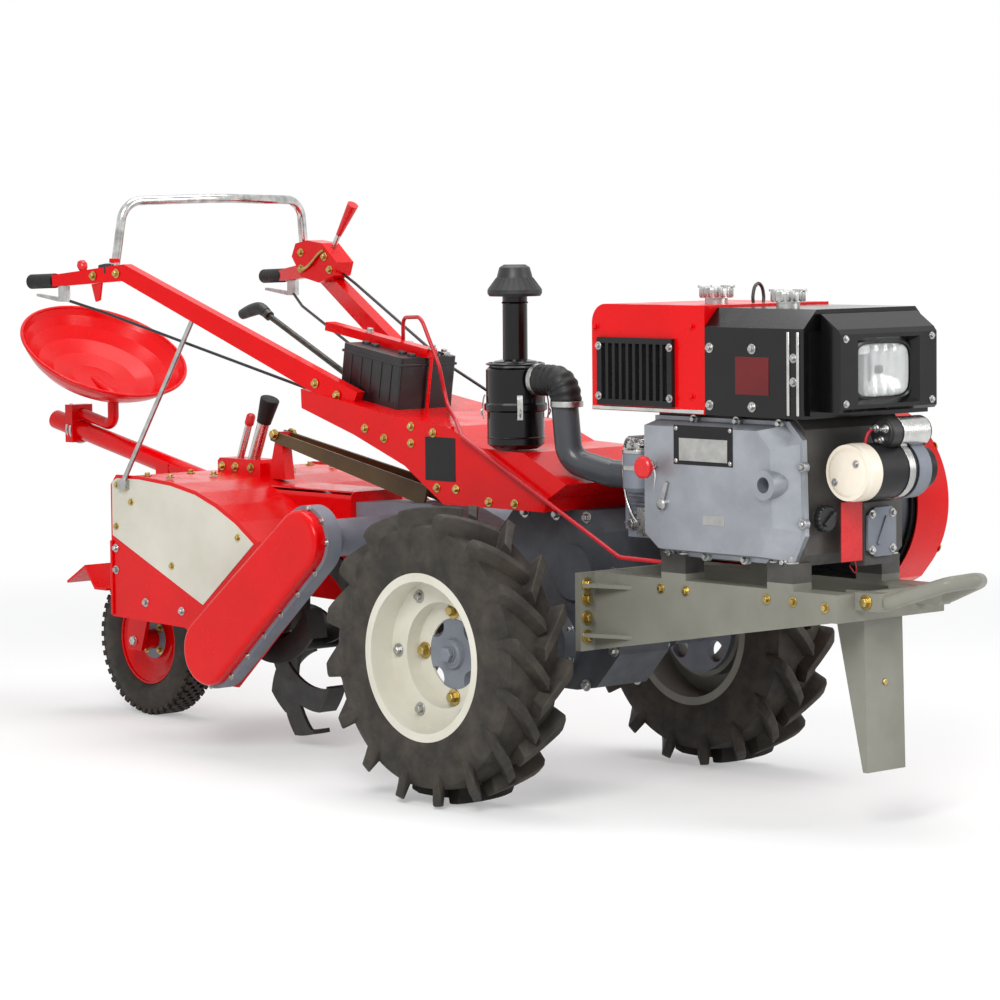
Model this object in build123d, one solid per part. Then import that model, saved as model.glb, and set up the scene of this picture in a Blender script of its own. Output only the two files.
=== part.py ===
from build123d import *
import math
import os

# Power tiller: a two-wheel walking tractor with a rotary tiller, seat and tail wheel.
# Millimetres. +X points to the bumper, +Y to the driver's left, +Z up.
# Sizes are given from the drive axle, with the floor at z = 0; the export moves the whole
# machine along X so that the middle of its length stands at x = 0.

os.makedirs("parts", exist_ok=True)

# Drive wheels
TYRE_R = 315.0
TYRE_W = 160.0
TYRE_WALL = 14.0
TREAD_WALL = 26.0
TRACK_HALF = 397.0
RIM_SEAT_R = 165.0
RIM_FLANGE_R = 178.0
RIM_W = 146.0
RIM_WALL = 5.0
DISH_DEPTH = 60.0
CUP_DEPTH = 95.0
CUP_R = 117.0
HUB_HOLE_R = 75.0
HUB_FLANGE_R = 106.0
HUB_FLANGE_T = 14.0
HUB_FACE = 6.0
HUB_WINDOWS = 4
HUB_WINDOW_R = 24.0
HUB_WINDOW_PCD = 156.0
HUB_SLEEVE_R = 38.0
HUB_SLEEVE_L = 78.0
AXLE_R = 24.0
RUN_CLEAR = 0.05
SEAT_CLEAR = 0.3

# Gearbox and axle housings
AXLE_Z = TYRE_R
BOX_HALF_W = 75.0
BOX_TOP = 605.0
BOX_REAR = -190.0
BOX_FRONT = 190.0
BOX_BOTTOM = 215.0
TRUMPET_ROOT_R = 75.0
TRUMPET_END_R = 45.0
TRUMPET_END_Y = 250.0
TRUMPET_BORE = 60.0

# Frame
PLATE_T = 16.0
RAIL_REAR = BOX_FRONT + PLATE_T
RAIL_FRONT = 880.0
RAIL_OUT_Y = 160.0
RAIL_FLANGE = 55.0
RAIL_T = 8.0
RAIL_TOP = 487.0
RAIL_REAR_H = 165.0
RAIL_FRONT_H = 56.0
FRONT_PLATE_T = 14.0
MOUNT_RIGHT_W = 202.0
MOUNT_LEFT_W = 184.0
GUSSET_L = 110.0
GUSSET_T = 8.0
BED_T = 14.0
BED_L = 70.0
BED_REAR_X = 440.0
BED_FRONT_X = 740.0
BUMPER_R = 15.0
BUMPER_HALF_Y = 70.0
BUMPER_TIP_X = 1108.0
BUMPER_Z = 472.0
BUMPER_TIP_Z = 520.0
BUMPER_LUG_L = 70.0
BUMPER_LUG_H = 36.0

# Front stand
STAND_PIVOT_X = 858.0
STAND_PIVOT_Z = 464.0
STAND_FOOT_Z = 122.0
STAND_HALF_W = 57.0
STAND_T = 6.0
STAND_TOP_DEPTH = 66.0
STAND_FOOT_DEPTH = 12.0
STAND_FOOT_X = 880.0
STAND_PIN_R = 9.0
EAR_T = 10.0
EAR_GAP = 2.0

# Engine
BED_TOP = RAIL_TOP + BED_T
BLOCK_REAR = 382.0
BLOCK_FRONT = 790.0
BLOCK_TOP = 832.0
BLOCK_RIGHT = -140.0
BLOCK_LEFT = 150.0
COVER_T = 60.0
COVER_FLANGE_T = 12.0
COVER_BEVEL = 44.0
COVER_TOP = 824.0
COVER_BOTTOM = 537.0
CRANK_X = 746.0
CRANK_Z = 700.0
CRANK_BORE_R = 16.0
CRANK_BORE_L = 40.0
CRANK_BOSS_R = 30.0
HEAD_REAR = 212.0
HEAD_HALF_W = 95.0
HEAD_BOTTOM = 560.0
HEAD_TOP = 772.0
ROCKER_T = 30.0
FLY_X = 589.0
FLY_Z = 640.0
FLY_R = 182.0
FLY_T = 70.0
FLY_GAP = 14.0
CLUTCH_X = 60.0
CLUTCH_Z = 560.0
CLUTCH_R = 98.0
GUARD_IN_Y = 200.0
GUARD_OUT_Y = 296.0
GUARD_T = 3.0
GUARD_FOOT_X = 697.0
GUARD_FOOT_Z = 499.0
GUARD_CLEAR = 16.0
GUARD_SWAGE = 4.0
GUARD_SWAGE_IN = 24.0
BELTS = 3
BELT_W = 12.0
BELT_T = 9.0
BELT_PITCH = 14.0
BELT_Y = 212.0
PUMP_BLOCK_T = 28.0
FILLER_NECK_R = 20.0
FILLER_NECK_L = 14.0
FILLER_Y = -99.0
FILLER_Z = 630.0
STARTER_X = BLOCK_FRONT + 78
STARTER_Z = 724.0
STARTER_R = 56.0
SOLENOID_R = 30.0
SOLENOID_Z = 800.0
FILTER_X = 320.0
FILTER_Z = 704.0
FILTER_R = 34.0
FILTER_H = 84.0
FILTER_GAP = 44.0
PIPE_R = 29.0

# Tank, radiator and lamp
TOP_HALF_W = 185.0
RAD_REAR = 229.0
RAD_FRONT = 558.0
RAD_BASE = BLOCK_TOP
RAD_TOP = 1053.0
RAD_WALL = 4.0
GRILLE_X0 = 253.0
GRILLE_X1 = 473.0
GRILLE_Z0 = 844.0
GRILLE_Z1 = 984.0
GRILLE_T = 10.0
LOUVRES = 10
TANK_FRONT = 830.0
TANK_TOP = 1048.0
TANK_CHAMFER = 38.0
CAP_R = 34.0
CAP_H = 22.0
RADIATOR_CAP = (470.0, -60.0)
FUEL_CAP = (700.0, -90.0)
LAMP_HALF_W = 143.0
LAMP_FRONT = 890.0
LAMP_Z0 = 845.0
LAMP_Z1 = 1005.0
LENS_HALF_W = 80.0
LENS_HALF_H = 54.0
LENS_DEPTH = 20.0

# Air cleaner
CLEAN_X = -64.0
CLEAN_Y = -134.0
CLEAN_R = 64.0
CLEAN_Z0 = 735.0
CLEAN_Z1 = 928.0
STACK_R = 27.0
STACK_TOP = 1064.0
PRECAP_R = 59.0
PRECAP_TOP = 1132.0

# Handlebars
CONSOLE_HALF_W = 170.0
SHEET_T = 4.0
ARM_W = 30.0
ARM_BASE_H = 54.0
ARM_BEND_H = 40.0
ARM_END_H = 28.0
ARM_BASE = (-600.0, -131.0, 815.0)
ARM_BEND = (-1247.0, -297.0, 1110.0)
ARM_END = (-1457.0, -352.0, 1090.0)
GRIP_END = (-1549.0, -359.0, 1087.0)
GRIP_R = 17.0
HOOP_R = 11.0
HOOP_X = -1300.0
HOOP_LEAN = 36.0
HOOP_HALF_W = 278.0
HOOP_TOP = 1296.0
HOOP_FOOT_Z = 1118.0

BATTERY_L = 205.0
BATTERY_W = 165.0
BATTERY_H = 118.0
BATTERY_Y = -28.0
BATTERY_X = -587.0
LEVER_Y = 256.0
SHIFT_Y = -40.0
CABLE_R = 3.5
SUPPLY_CABLE_R = 4.5

# Rotary tiller
ROTOR_X = -870.0
ROTOR_Z = 246.0
TINE_R = 222.0
TINE_ROWS = 8
TINE_PITCH = 66.0
TINE_STEP = 50.0
TINE_REACH = 27.0
TINE_START = 9.0
TINE_TIP_T = 10.0
ADJUSTER_REAR = -1250.0
ADJUSTER_FRONT = -1085.0
ADJUSTER_W = 60.0
SCREW_R = 15.0
LOCK_R = 9.0
TINE_TIP_W = 46.0
TINE_T = 9.0
ROTOR_SHAFT_R = 24.0
HOOD_HALF_W = 300.0
HOOD_T = 3.0
HOOD_TOP = 623.0
BONNET_FRONT = -690.0
BONNET_HALF_W = 78.0
BONNET_TOP = 604.0
PANEL_T = 2.0
SIDE_T = 4.0
DRIVE_X = -530.0
DRIVE_Z = 520.0
CASE_T = 40.0
CASE_TOP_R = 78.0
CASE_LOW_R = 88.0
COVER_RIM = 9.0
COVER_DEPTH = 30.0
CROSS_R = 42.0

# Tail wheel and seat
TAIL_X = -1538.0
TAIL_R = 190.0
TAIL_HALF_W = 48.0
TAIL_RIM_R = 112.0
TAIL_AXLE_R = 12.0
FORK_Y = 66.0
FORK_T = 10.0
CROWN_LOW = 392.0
CROWN_TOP = 412.0
POST_HALF_W = 25.0
PEDAL_W = 90.0
SEAT_X = -1750.0
SEAT_Z = 904.0
SEAT_HALF_L = 201.0
SEAT_HALF_W = 225.0
SEAT_TILT = 33.0
SEAT_DEPTH = 88.0
SEAT_WALL = 4.0
POST_R = 14.0
BEAM_R = 24.0


def slab(points, y0, y1):
    """Plate with an outline in the XZ plane, from y0 to y1."""
    wire = Polyline(*[(x, y0, z) for x, z in points], close=True)
    return extrude(make_face(wire), amount=y1 - y0, dir=(0, 1, 0))


def block(x0, x1, y0, y1, z0, z1):
    """Box between two corners."""
    return Pos((x0 + x1) / 2, (y0 + y1) / 2, (z0 + z1) / 2) * Box(x1 - x0, y1 - y0, z1 - z0)


def rod(start, end, radius):
    """Round bar between two points."""
    run = Vector(*end) - Vector(*start)
    return Solid.make_cylinder(radius, run.length, Plane(origin=start, z_dir=run))


def bent_tube(points, radii, radius):
    """Round bar along straight runs joined by arcs."""
    path = FilletPolyline(*points, radius=radii)
    return sweep(Plane(origin=path @ 0, z_dir=path % 0) * Circle(radius), path=path)


def turned(points, y_sign=1):
    """Solid of revolution about Y, from an outline of (radius, y) points."""
    wire = Polyline(*[(r, y * y_sign, 0) for r, y in points], close=True)
    return revolve(make_face(wire), axis=Axis.Y)


def disc(x, z, radius, y0, y1):
    """Short cylinder along Y."""
    return rod((x, y0, z), (x, y1, z), radius)


def on_ring(count, diameter, start=0.0):
    """Places (x, z) evenly spaced on a circle, the first at the start angle."""
    for i in range(count):
        angle = math.radians(start + 360.0 * i / count)
        yield diameter / 2 * math.cos(angle), diameter / 2 * math.sin(angle)


def polar(radius, degrees):
    """Point at a radius and an angle in the XZ plane."""
    angle = math.radians(degrees)
    return radius * math.cos(angle), 0, radius * math.sin(angle)


def drive_tyre():
    """Tyre about the Y axis, open towards the rim like a real cover."""
    half = TYRE_W / 2
    bead_y = RIM_W / 2 - RIM_WALL - SEAT_CLEAR
    bead_r = RIM_SEAT_R + SEAT_CLEAR
    outer = [
        (bead_r, bead_y), (RIM_FLANGE_R + SEAT_CLEAR, bead_y), (RIM_FLANGE_R + 30, half - 4),
        (RIM_FLANGE_R + 75, half),
        (TYRE_R - 22, half - 8), (TYRE_R, half - 28),
    ]
    cavity_y = half - TYRE_WALL
    inner = [
        (TYRE_R - TREAD_WALL, half - 38), (TYRE_R - TREAD_WALL - 20, cavity_y),
        (RIM_FLANGE_R + 40, cavity_y - 4), (bead_r - 1, bead_y - TYRE_WALL),
    ]
    profile = outer + [(r, -y) for r, y in reversed(outer)]
    cavity = inner + [(r, -y) for r, y in reversed(inner)]
    return turned(profile) - turned(cavity)


def drive_rim():
    """Dished steel rim about the Y axis, its dish open towards +Y."""
    half = RIM_W / 2
    bore_r = RIM_SEAT_R - RIM_WALL
    dish_y = half - DISH_DEPTH
    cup_y = half - CUP_DEPTH
    rim = turned([
        (RIM_FLANGE_R, half), (RIM_FLANGE_R, half - RIM_WALL), (RIM_SEAT_R, half - RIM_WALL),
        (RIM_SEAT_R, RIM_WALL - half), (RIM_FLANGE_R, RIM_WALL - half), (RIM_FLANGE_R, -half),
        (bore_r, -half), (bore_r, dish_y - RIM_WALL), (CUP_R, dish_y - RIM_WALL),
        (CUP_R, cup_y - RIM_WALL), (HUB_HOLE_R, cup_y - RIM_WALL), (HUB_HOLE_R, cup_y),
        (CUP_R - RIM_WALL, cup_y), (CUP_R - RIM_WALL, dish_y), (bore_r, dish_y), (bore_r, half),
    ])
    return rim


def half_axle():
    """Axle shaft with its hub flange and its four windows, about Y, the hub towards +Y."""
    face_y = RIM_W / 2 - CUP_DEPTH - RIM_WALL
    back_y = face_y - HUB_FLANGE_T
    inner_y = TRUMPET_END_Y - TRUMPET_BORE + 1 - TRACK_HALF
    spigot_r = HUB_HOLE_R - SEAT_CLEAR
    hub = turned([
        (0, face_y + HUB_FACE + 8), (30, face_y + HUB_FACE + 8), (34, face_y + HUB_FACE),
        (spigot_r, face_y + HUB_FACE), (spigot_r, face_y), (HUB_FLANGE_R, face_y),
        (HUB_FLANGE_R, back_y), (HUB_SLEEVE_R, back_y), (HUB_SLEEVE_R, face_y - HUB_SLEEVE_L),
        (AXLE_R, face_y - HUB_SLEEVE_L), (AXLE_R, inner_y), (0, inner_y),
    ])
    for x, z in on_ring(HUB_WINDOWS, HUB_WINDOW_PCD, 45):
        hub -= disc(x, z, HUB_WINDOW_R, back_y - 1, face_y + HUB_FACE + 1)
    return hub


def place_wheel(shape, side):
    """Put a wheel piece made for +Y at its axle; side is -1 for right and 1 for left."""
    facing = shape if side > 0 else Rot(0, 0, 180) * shape
    return Pos(0, side * TRACK_HALF, AXLE_Z) * facing


def gearbox():
    """Cast transmission housing with trumpet housings for the half axles."""
    body = slab([
        (BOX_REAR, 330), (BOX_REAR, 540), (-130, BOX_TOP), (110, BOX_TOP), (150, 560),
        (BOX_FRONT, 487), (BOX_FRONT, 300), (120, 225), (60, BOX_BOTTOM), (-60, BOX_BOTTOM),
        (-130, 250),
    ], -BOX_HALF_W, BOX_HALF_W)
    for side in (-1, 1):
        y0, y1 = side * BOX_HALF_W, side * TRUMPET_END_Y
        trumpet = Pos(0, 0, AXLE_Z) * turned([
            (0, y0 * 0.9), (TRUMPET_ROOT_R, y0 * 0.9), (TRUMPET_ROOT_R, y0 + side * 14),
            (TRUMPET_END_R + 10, y0 + side * 30), (TRUMPET_END_R, y1), (0, y1),
        ])
        body += trumpet
        body += disc(60, 470, 60, y0 * 0.9, y0 + side * 12)
    for side in (-1, 1):
        y1 = side * TRUMPET_END_Y
        body -= disc(0, AXLE_Z, AXLE_R + RUN_CLEAR, y1 - side * TRUMPET_BORE, y1 + side)
    return body


def frame_rails():
    """Two tapered channels, open towards the middle."""
    outline = [
        (RAIL_REAR, RAIL_TOP), (RAIL_FRONT, RAIL_TOP), (RAIL_FRONT, RAIL_TOP - RAIL_FRONT_H),
        (RAIL_REAR, RAIL_TOP - RAIL_REAR_H),
    ]
    pocket = [
        (RAIL_REAR - 1, RAIL_TOP - RAIL_T), (RAIL_FRONT + 1, RAIL_TOP - RAIL_T),
        (RAIL_FRONT + 1, RAIL_TOP - RAIL_FRONT_H + RAIL_T),
        (RAIL_REAR - 1, RAIL_TOP - RAIL_REAR_H + RAIL_T),
    ]
    rails = []
    for side in (-1, 1):
        out, web = side * RAIL_OUT_Y, side * (RAIL_OUT_Y - RAIL_T)
        inn = side * (RAIL_OUT_Y - RAIL_FLANGE)
        rails.append(slab(outline, out, inn) - slab(pocket, web, inn - side))
    return Compound(rails)


def frame_crossmembers():
    """Rear mounting plate, engine pads and front plate with the stand's ears."""
    low = RAIL_TOP - RAIL_REAR_H
    mount = block(BOX_FRONT, RAIL_REAR, -MOUNT_RIGHT_W, MOUNT_LEFT_W, low, RAIL_TOP)
    for side, half_w in ((-1, MOUNT_RIGHT_W), (1, MOUNT_LEFT_W)):
        web = side * RAIL_OUT_Y
        outline = [
            (RAIL_REAR, web, 0), (RAIL_REAR, side * (half_w - 4), 0),
            (RAIL_REAR + GUSSET_L, web, 0),
        ]
        gusset = extrude(make_face(Polyline(*outline, close=True)), GUSSET_T, dir=(0, 0, 1))
        for z in (low + 30, RAIL_TOP - 30):
            mount += Pos(0, 0, z) * gusset
    pieces = [mount]
    for x in (BED_REAR_X, BED_FRONT_X):
        for side in (-1, 1):
            y0, y1 = sorted((side * RAIL_OUT_Y, side * (RAIL_OUT_Y - RAIL_FLANGE)))
            pieces.append(block(x - BED_L / 2, x + BED_L / 2, y0, y1, RAIL_TOP, BED_TOP))
    front = block(
        RAIL_FRONT, RAIL_FRONT + FRONT_PLATE_T, -RAIL_OUT_Y, RAIL_OUT_Y,
        RAIL_TOP - RAIL_FRONT_H, RAIL_TOP)
    ear_y = STAND_HALF_W + EAR_GAP
    for side in (-1, 1):
        ear = slab([
            (RAIL_FRONT + 1, RAIL_TOP - RAIL_FRONT_H), (RAIL_FRONT + 1, RAIL_TOP),
            (STAND_PIVOT_X - 24, RAIL_TOP), (STAND_PIVOT_X - 24, STAND_PIVOT_Z - 12),
            (STAND_PIVOT_X - 4, RAIL_TOP - RAIL_FRONT_H),
        ], side * ear_y, side * (ear_y + EAR_T))
        ear -= disc(STAND_PIVOT_X, STAND_PIVOT_Z, STAND_PIN_R + RUN_CLEAR, side * (ear_y - 1),
                    side * (ear_y + EAR_T + 1))
        front += ear
    pieces.append(front)
    return pieces


def front_bumper():
    """Tow and bumper loop that rises forwards from the front plate."""
    start = RAIL_FRONT + FRONT_PLATE_T
    y = BUMPER_HALF_Y + 20
    points = [
        (start, -y, BUMPER_Z), (start + 70, -y, BUMPER_Z),
        (BUMPER_TIP_X - 25, -y * 0.55, BUMPER_TIP_Z - 6), (BUMPER_TIP_X, 0, BUMPER_TIP_Z),
        (BUMPER_TIP_X - 25, y * 0.55, BUMPER_TIP_Z - 6), (start + 70, y, BUMPER_Z),
        (start, y, BUMPER_Z),
    ]
    bumper = bent_tube(points, [60, 30, 20, 30, 60], BUMPER_R)
    for side in (-1, 1):
        lug = block(start, start + BUMPER_LUG_L, side * y - BUMPER_LUG_H / 2,
                    side * y + BUMPER_LUG_H / 2, BUMPER_Z - BUMPER_LUG_H / 2,
                    BUMPER_Z + BUMPER_LUG_H / 2)
        bumper += chamfer(lug.edges().filter_by(Axis.Y).group_by(Axis.X)[-1], 10)
    return bumper


def front_stand():
    """Hinged leg: a channel open to the rear, tapering to its foot, with its pivot pin."""
    top = STAND_PIVOT_Z + 14
    front_x = STAND_PIVOT_X + 13
    outline = [
        (front_x, top), (STAND_FOOT_X, STAND_FOOT_Z), (STAND_FOOT_X - STAND_FOOT_DEPTH, STAND_FOOT_Z),
        (STAND_PIVOT_X + 8 - STAND_TOP_DEPTH, STAND_PIVOT_Z - 50), (STAND_PIVOT_X - 16, top),
    ]
    leg = slab(outline, -STAND_HALF_W, STAND_HALF_W)
    hollow = [
        (front_x - STAND_T, top + 1), (STAND_FOOT_X - STAND_T, STAND_FOOT_Z - 1),
        (STAND_FOOT_X - 200, STAND_FOOT_Z - 1), (STAND_FOOT_X - 200, top + 1),
    ]
    leg -= slab(hollow, STAND_T - STAND_HALF_W, STAND_HALF_W - STAND_T)
    pin_y = STAND_HALF_W + EAR_GAP + EAR_T + 3
    return leg + disc(STAND_PIVOT_X, STAND_PIVOT_Z, STAND_PIN_R, -pin_y, pin_y)


def crankcase():
    """Closed engine block on four feet over the pads."""
    body = block(BLOCK_REAR, BLOCK_FRONT, BLOCK_RIGHT, BLOCK_LEFT, BED_TOP + 32, BLOCK_TOP)
    body = chamfer(body.edges().filter_by(Axis.Y).group_by(Axis.X)[-1], 24)
    for x in (BED_REAR_X, BED_FRONT_X):
        for side in (-1, 1):
            y0, y1 = sorted((side * RAIL_OUT_Y, side * (RAIL_OUT_Y - RAIL_FLANGE)))
            body += block(x - BED_L / 2, x + BED_L / 2, y0, y1, BED_TOP, BED_TOP + 40)
    pump = block(BLOCK_FRONT - 1, BLOCK_FRONT + PUMP_BLOCK_T, -6, 104, BED_TOP + 28, 656)
    body += chamfer(pump.edges().filter_by(Axis.Z).group_by(Axis.X)[-1], 12)
    body += rod((BLOCK_FRONT - 1, FILLER_Y, FILLER_Z),
                (BLOCK_FRONT + FILLER_NECK_L, FILLER_Y, FILLER_Z), FILLER_NECK_R)
    return body - gear_case_cover()


def gear_case_cover():
    """Cast cover on the right side: flange, bevelled face and the starting socket's boss."""
    flange = slab(cover_outline(0, 0, 0), BLOCK_RIGHT, BLOCK_RIGHT - COVER_FLANGE_T)
    y_out = BLOCK_RIGHT - COVER_T
    inner, outer = [
        make_face(Polyline(*[(x, y, z) for x, z in outline], close=True))
        for y, outline in (
            (BLOCK_RIGHT - COVER_FLANGE_T, cover_outline(8, 8, 8)),
            (y_out, cover_outline(16, COVER_BEVEL, 18)))
    ]
    body = flange + loft([inner, outer], ruled=True)
    body += disc(CRANK_X, CRANK_Z, CRANK_BOSS_R, BLOCK_RIGHT - 10, y_out - 14)
    body -= disc(CRANK_X, CRANK_Z, CRANK_BORE_R, y_out - 14 + CRANK_BORE_L, y_out - 15)
    return body


def cover_outline(rear, front, top):
    """Side cover's outline, drawn in by so much at the rear, the front and the top and bottom."""
    x0, x1 = BLOCK_REAR + rear, BLOCK_FRONT - front
    z0, z1 = COVER_BOTTOM + top, COVER_TOP - top
    return [
        (x0, z0 + 30), (x0, z1), (x1 - 30, z1), (x1 + 6, z1 - 36), (x1 + 12, z0 + 60),
        (x1 - 20, z0), (x0 + 40, z0),
    ]


def cylinder_head():
    """Cylinder head and rocker cover at the rear of the block."""
    body = block(HEAD_REAR + 30, BLOCK_REAR, -HEAD_HALF_W, HEAD_HALF_W, HEAD_BOTTOM, HEAD_TOP)
    rocker = block(HEAD_REAR, HEAD_REAR + ROCKER_T, -HEAD_HALF_W + 14, HEAD_HALF_W - 14,
                   HEAD_BOTTOM + 14, HEAD_TOP - 14)
    rocker = fillet(rocker.faces().sort_by(Axis.X)[0].edges(), 12)
    return body + rocker


def drive_pulleys():
    """Flywheel on the block's left face and clutch pulley on the gearbox's left boss."""
    y0 = BLOCK_LEFT
    fly = Pos(FLY_X, 0, FLY_Z) * turned([
        (0, y0), (42, y0), (42, y0 + FLY_GAP + 8), (FLY_R - 34, y0 + FLY_GAP + 8),
        (FLY_R - 34, y0 + FLY_GAP), (FLY_R, y0 + FLY_GAP), (FLY_R, y0 + FLY_GAP + FLY_T),
        (FLY_R - 34, y0 + FLY_GAP + FLY_T), (FLY_R - 34, y0 + FLY_GAP + 24),
        (60, y0 + FLY_GAP + 24), (60, y0 + FLY_GAP + 50), (0, y0 + FLY_GAP + 50),
    ])
    y1 = BOX_HALF_W
    clutch = Pos(CLUTCH_X, 0, CLUTCH_Z) * turned([
        (0, y1), (28, y1), (28, GUARD_IN_Y - 10), (CLUTCH_R, GUARD_IN_Y - 10),
        (CLUTCH_R, GUARD_OUT_Y - 22), (0, GUARD_OUT_Y - 22),
    ])
    return Compound([fly, clutch])


def guard_outline(grow, foot=True):
    """Outline round the flywheel and the clutch pulley, with the guard's squared front foot."""
    fly = Pos(FLY_X, FLY_Z) * Circle(FLY_R + grow)
    clutch = Pos(CLUTCH_X, CLUTCH_Z) * Circle(CLUTCH_R + grow)
    edges = fly.edges() + clutch.edges()
    if foot:
        square = Pos(GUARD_FOOT_X - 40 + grow, GUARD_FOOT_Z + 40 - grow) * Rectangle(80, 80)
        edges += square.edges()
    return make_hull(edges)


def drive_belts():
    """V-belts side by side round the flywheel and the clutch pulley."""
    outer = guard_outline(SEAT_CLEAR + BELT_T, False)
    inner = guard_outline(SEAT_CLEAR, False)
    belts = []
    for i in range(BELTS):
        y = BELT_Y + (i - (BELTS - 1) / 2) * BELT_PITCH
        belt = extrude(Plane.XZ * outer, BELT_W) - extrude(Plane.XZ * inner, BELT_W)
        belts.append(Pos(0, y + BELT_W / 2, 0) * belt)
    return belts


def belt_guard():
    """Pressed pan over the belts, open towards the engine, on two stays from the rail."""
    outer = extrude(Plane.XZ * guard_outline(GUARD_CLEAR + GUARD_T), -GUARD_OUT_Y)
    outer = split(outer, Plane.XZ.offset(-GUARD_IN_Y), keep=Keep.BOTTOM)
    inner = extrude(Plane.XZ * guard_outline(GUARD_CLEAR), -(GUARD_OUT_Y - GUARD_T))
    pan = outer - inner
    swage = extrude(Plane.XZ * guard_outline(-GUARD_SWAGE_IN), -(GUARD_OUT_Y + GUARD_SWAGE))
    pan += split(swage, Plane.XZ.offset(-GUARD_OUT_Y), keep=Keep.BOTTOM)
    stay_x = FLY_X + 56
    low = FLY_Z - FLY_R - GUARD_CLEAR - GUARD_T
    pan += block(stay_x, stay_x + 25, RAIL_OUT_Y, GUARD_IN_Y + 6, low - 3, low + 17)
    return pan


def radiator_shell():
    """Sheet steel radiator box, open at its base, with a window in each side."""
    body = block(RAD_REAR, RAD_FRONT, -TOP_HALF_W, TOP_HALF_W, RAD_BASE, RAD_TOP)
    body = fillet(body.edges().filter_by(Axis.Y).group_by(Axis.Z)[-1].sort_by(Axis.X)[0:1], 40)
    body -= block(RAD_REAR + RAD_WALL, RAD_FRONT - RAD_WALL, RAD_WALL - TOP_HALF_W,
                  TOP_HALF_W - RAD_WALL, RAD_BASE - 1, RAD_TOP - RAD_WALL)
    body -= block(GRILLE_X0 + 8, GRILLE_X1 - 8, -TOP_HALF_W - 1, TOP_HALF_W + 1,
                  GRILLE_Z0 + 8, GRILLE_Z1 - 8)
    return body


def radiator_grilles():
    """Louvred panel on each side of the radiator box."""
    panels = []
    for side in (-1, 1):
        y0 = side * TOP_HALF_W
        y1 = side * (TOP_HALF_W + GRILLE_T)
        panel = block(GRILLE_X0, GRILLE_X1, min(y0, y1), max(y0, y1), GRILLE_Z0, GRILLE_Z1)
        pitch = (GRILLE_X1 - GRILLE_X0 - 20) / LOUVRES
        for i in range(LOUVRES):
            x = GRILLE_X0 + 10 + i * pitch
            z0, z1 = GRILLE_Z0 + 12, GRILLE_Z1 - 12
            panel -= block(x + 4, x + pitch - 4, min(y0, y1) - 1, max(y0, y1) + 1, z0, z1)
        panels.append(panel)
    return Compound(panels)


def fuel_tank():
    """Fuel tank in front of the radiator, with chamfered top edges."""
    body = block(RAD_FRONT, TANK_FRONT, -TOP_HALF_W, TOP_HALF_W, BLOCK_TOP, TANK_TOP)
    return chamfer(body.edges().filter_by(Axis.X).group_by(Axis.Z)[-1], TANK_CHAMFER)


def filler_caps():
    """Radiator cap and fuel cap."""
    caps = []
    for (x, y), top in ((RADIATOR_CAP, RAD_TOP), (FUEL_CAP, TANK_TOP)):
        neck = Pos(x, y, top + 6) * Cylinder(CAP_R * 0.7, 12)
        cap = Pos(x, y, top + 12 + CAP_H / 2) * Cylinder(CAP_R, CAP_H)
        caps.append(neck + chamfer(cap.edges().group_by(Axis.Z)[-1], 4))
    return Compound(caps)


def lamp_bracket():
    """Bracket plate between the tank's front and the headlight."""
    return block(TANK_FRONT, TANK_FRONT + 8, -TOP_HALF_W + 10, TOP_HALF_W - 10,
                 BLOCK_TOP + 6, LAMP_Z1)


def headlight_housing():
    """Headlight box with a recess for its lens."""
    back = TANK_FRONT + 8
    body = slab([
        (back, LAMP_Z0), (LAMP_FRONT - 6, LAMP_Z0), (LAMP_FRONT, LAMP_Z0 + 6),
        (LAMP_FRONT, LAMP_Z1 - 6), (LAMP_FRONT - 8, LAMP_Z1 + 4), (back, LAMP_Z1 + 34),
    ], -LAMP_HALF_W, LAMP_HALF_W)
    z = (LAMP_Z0 + LAMP_Z1) / 2
    recess = Pos(LAMP_FRONT, 0, z) * Rot(0, -90, 0) * Rectangle(
        2 * LENS_HALF_H + 24, 2 * LENS_HALF_W + 24)
    deep = Pos(LAMP_FRONT - LENS_DEPTH, 0, z) * Rot(0, -90, 0) * Rectangle(
        2 * LENS_HALF_H, 2 * LENS_HALF_W)
    body -= loft([recess.face(), deep.face()])
    body -= block(LAMP_FRONT - LENS_DEPTH - 14, LAMP_FRONT - LENS_DEPTH + 1, -LENS_HALF_W,
                  LENS_HALF_W, z - LENS_HALF_H, z + LENS_HALF_H)
    return body


def headlight_lens():
    """Rectangular lens with rounded corners and a slight crown."""
    z = (LAMP_Z0 + LAMP_Z1) / 2
    x0 = LAMP_FRONT - LENS_DEPTH - 14
    lens = block(x0, x0 + 12, -LENS_HALF_W + SEAT_CLEAR, LENS_HALF_W - SEAT_CLEAR,
                 z - LENS_HALF_H + SEAT_CLEAR, z + LENS_HALF_H - SEAT_CLEAR)
    return fillet(lens.faces().sort_by(Axis.X)[-1].edges(), 5)


def starter_motor():
    """Starter across the block's front, with its solenoid on top."""
    r = STARTER_R
    motor = turned([
        (0, -104), (r - 16, -104), (r - 4, -96), (r, -84), (r, 70), (r - 12, 78), (r - 12, 120),
        (0, 120),
    ])
    body = Pos(STARTER_X, 0, STARTER_Z) * motor
    body += disc(STARTER_X + 20, SOLENOID_Z, SOLENOID_R, -20, 96)
    return body + block(BLOCK_FRONT, STARTER_X, -30, 50, STARTER_Z - 30, STARTER_Z + 20)


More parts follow.
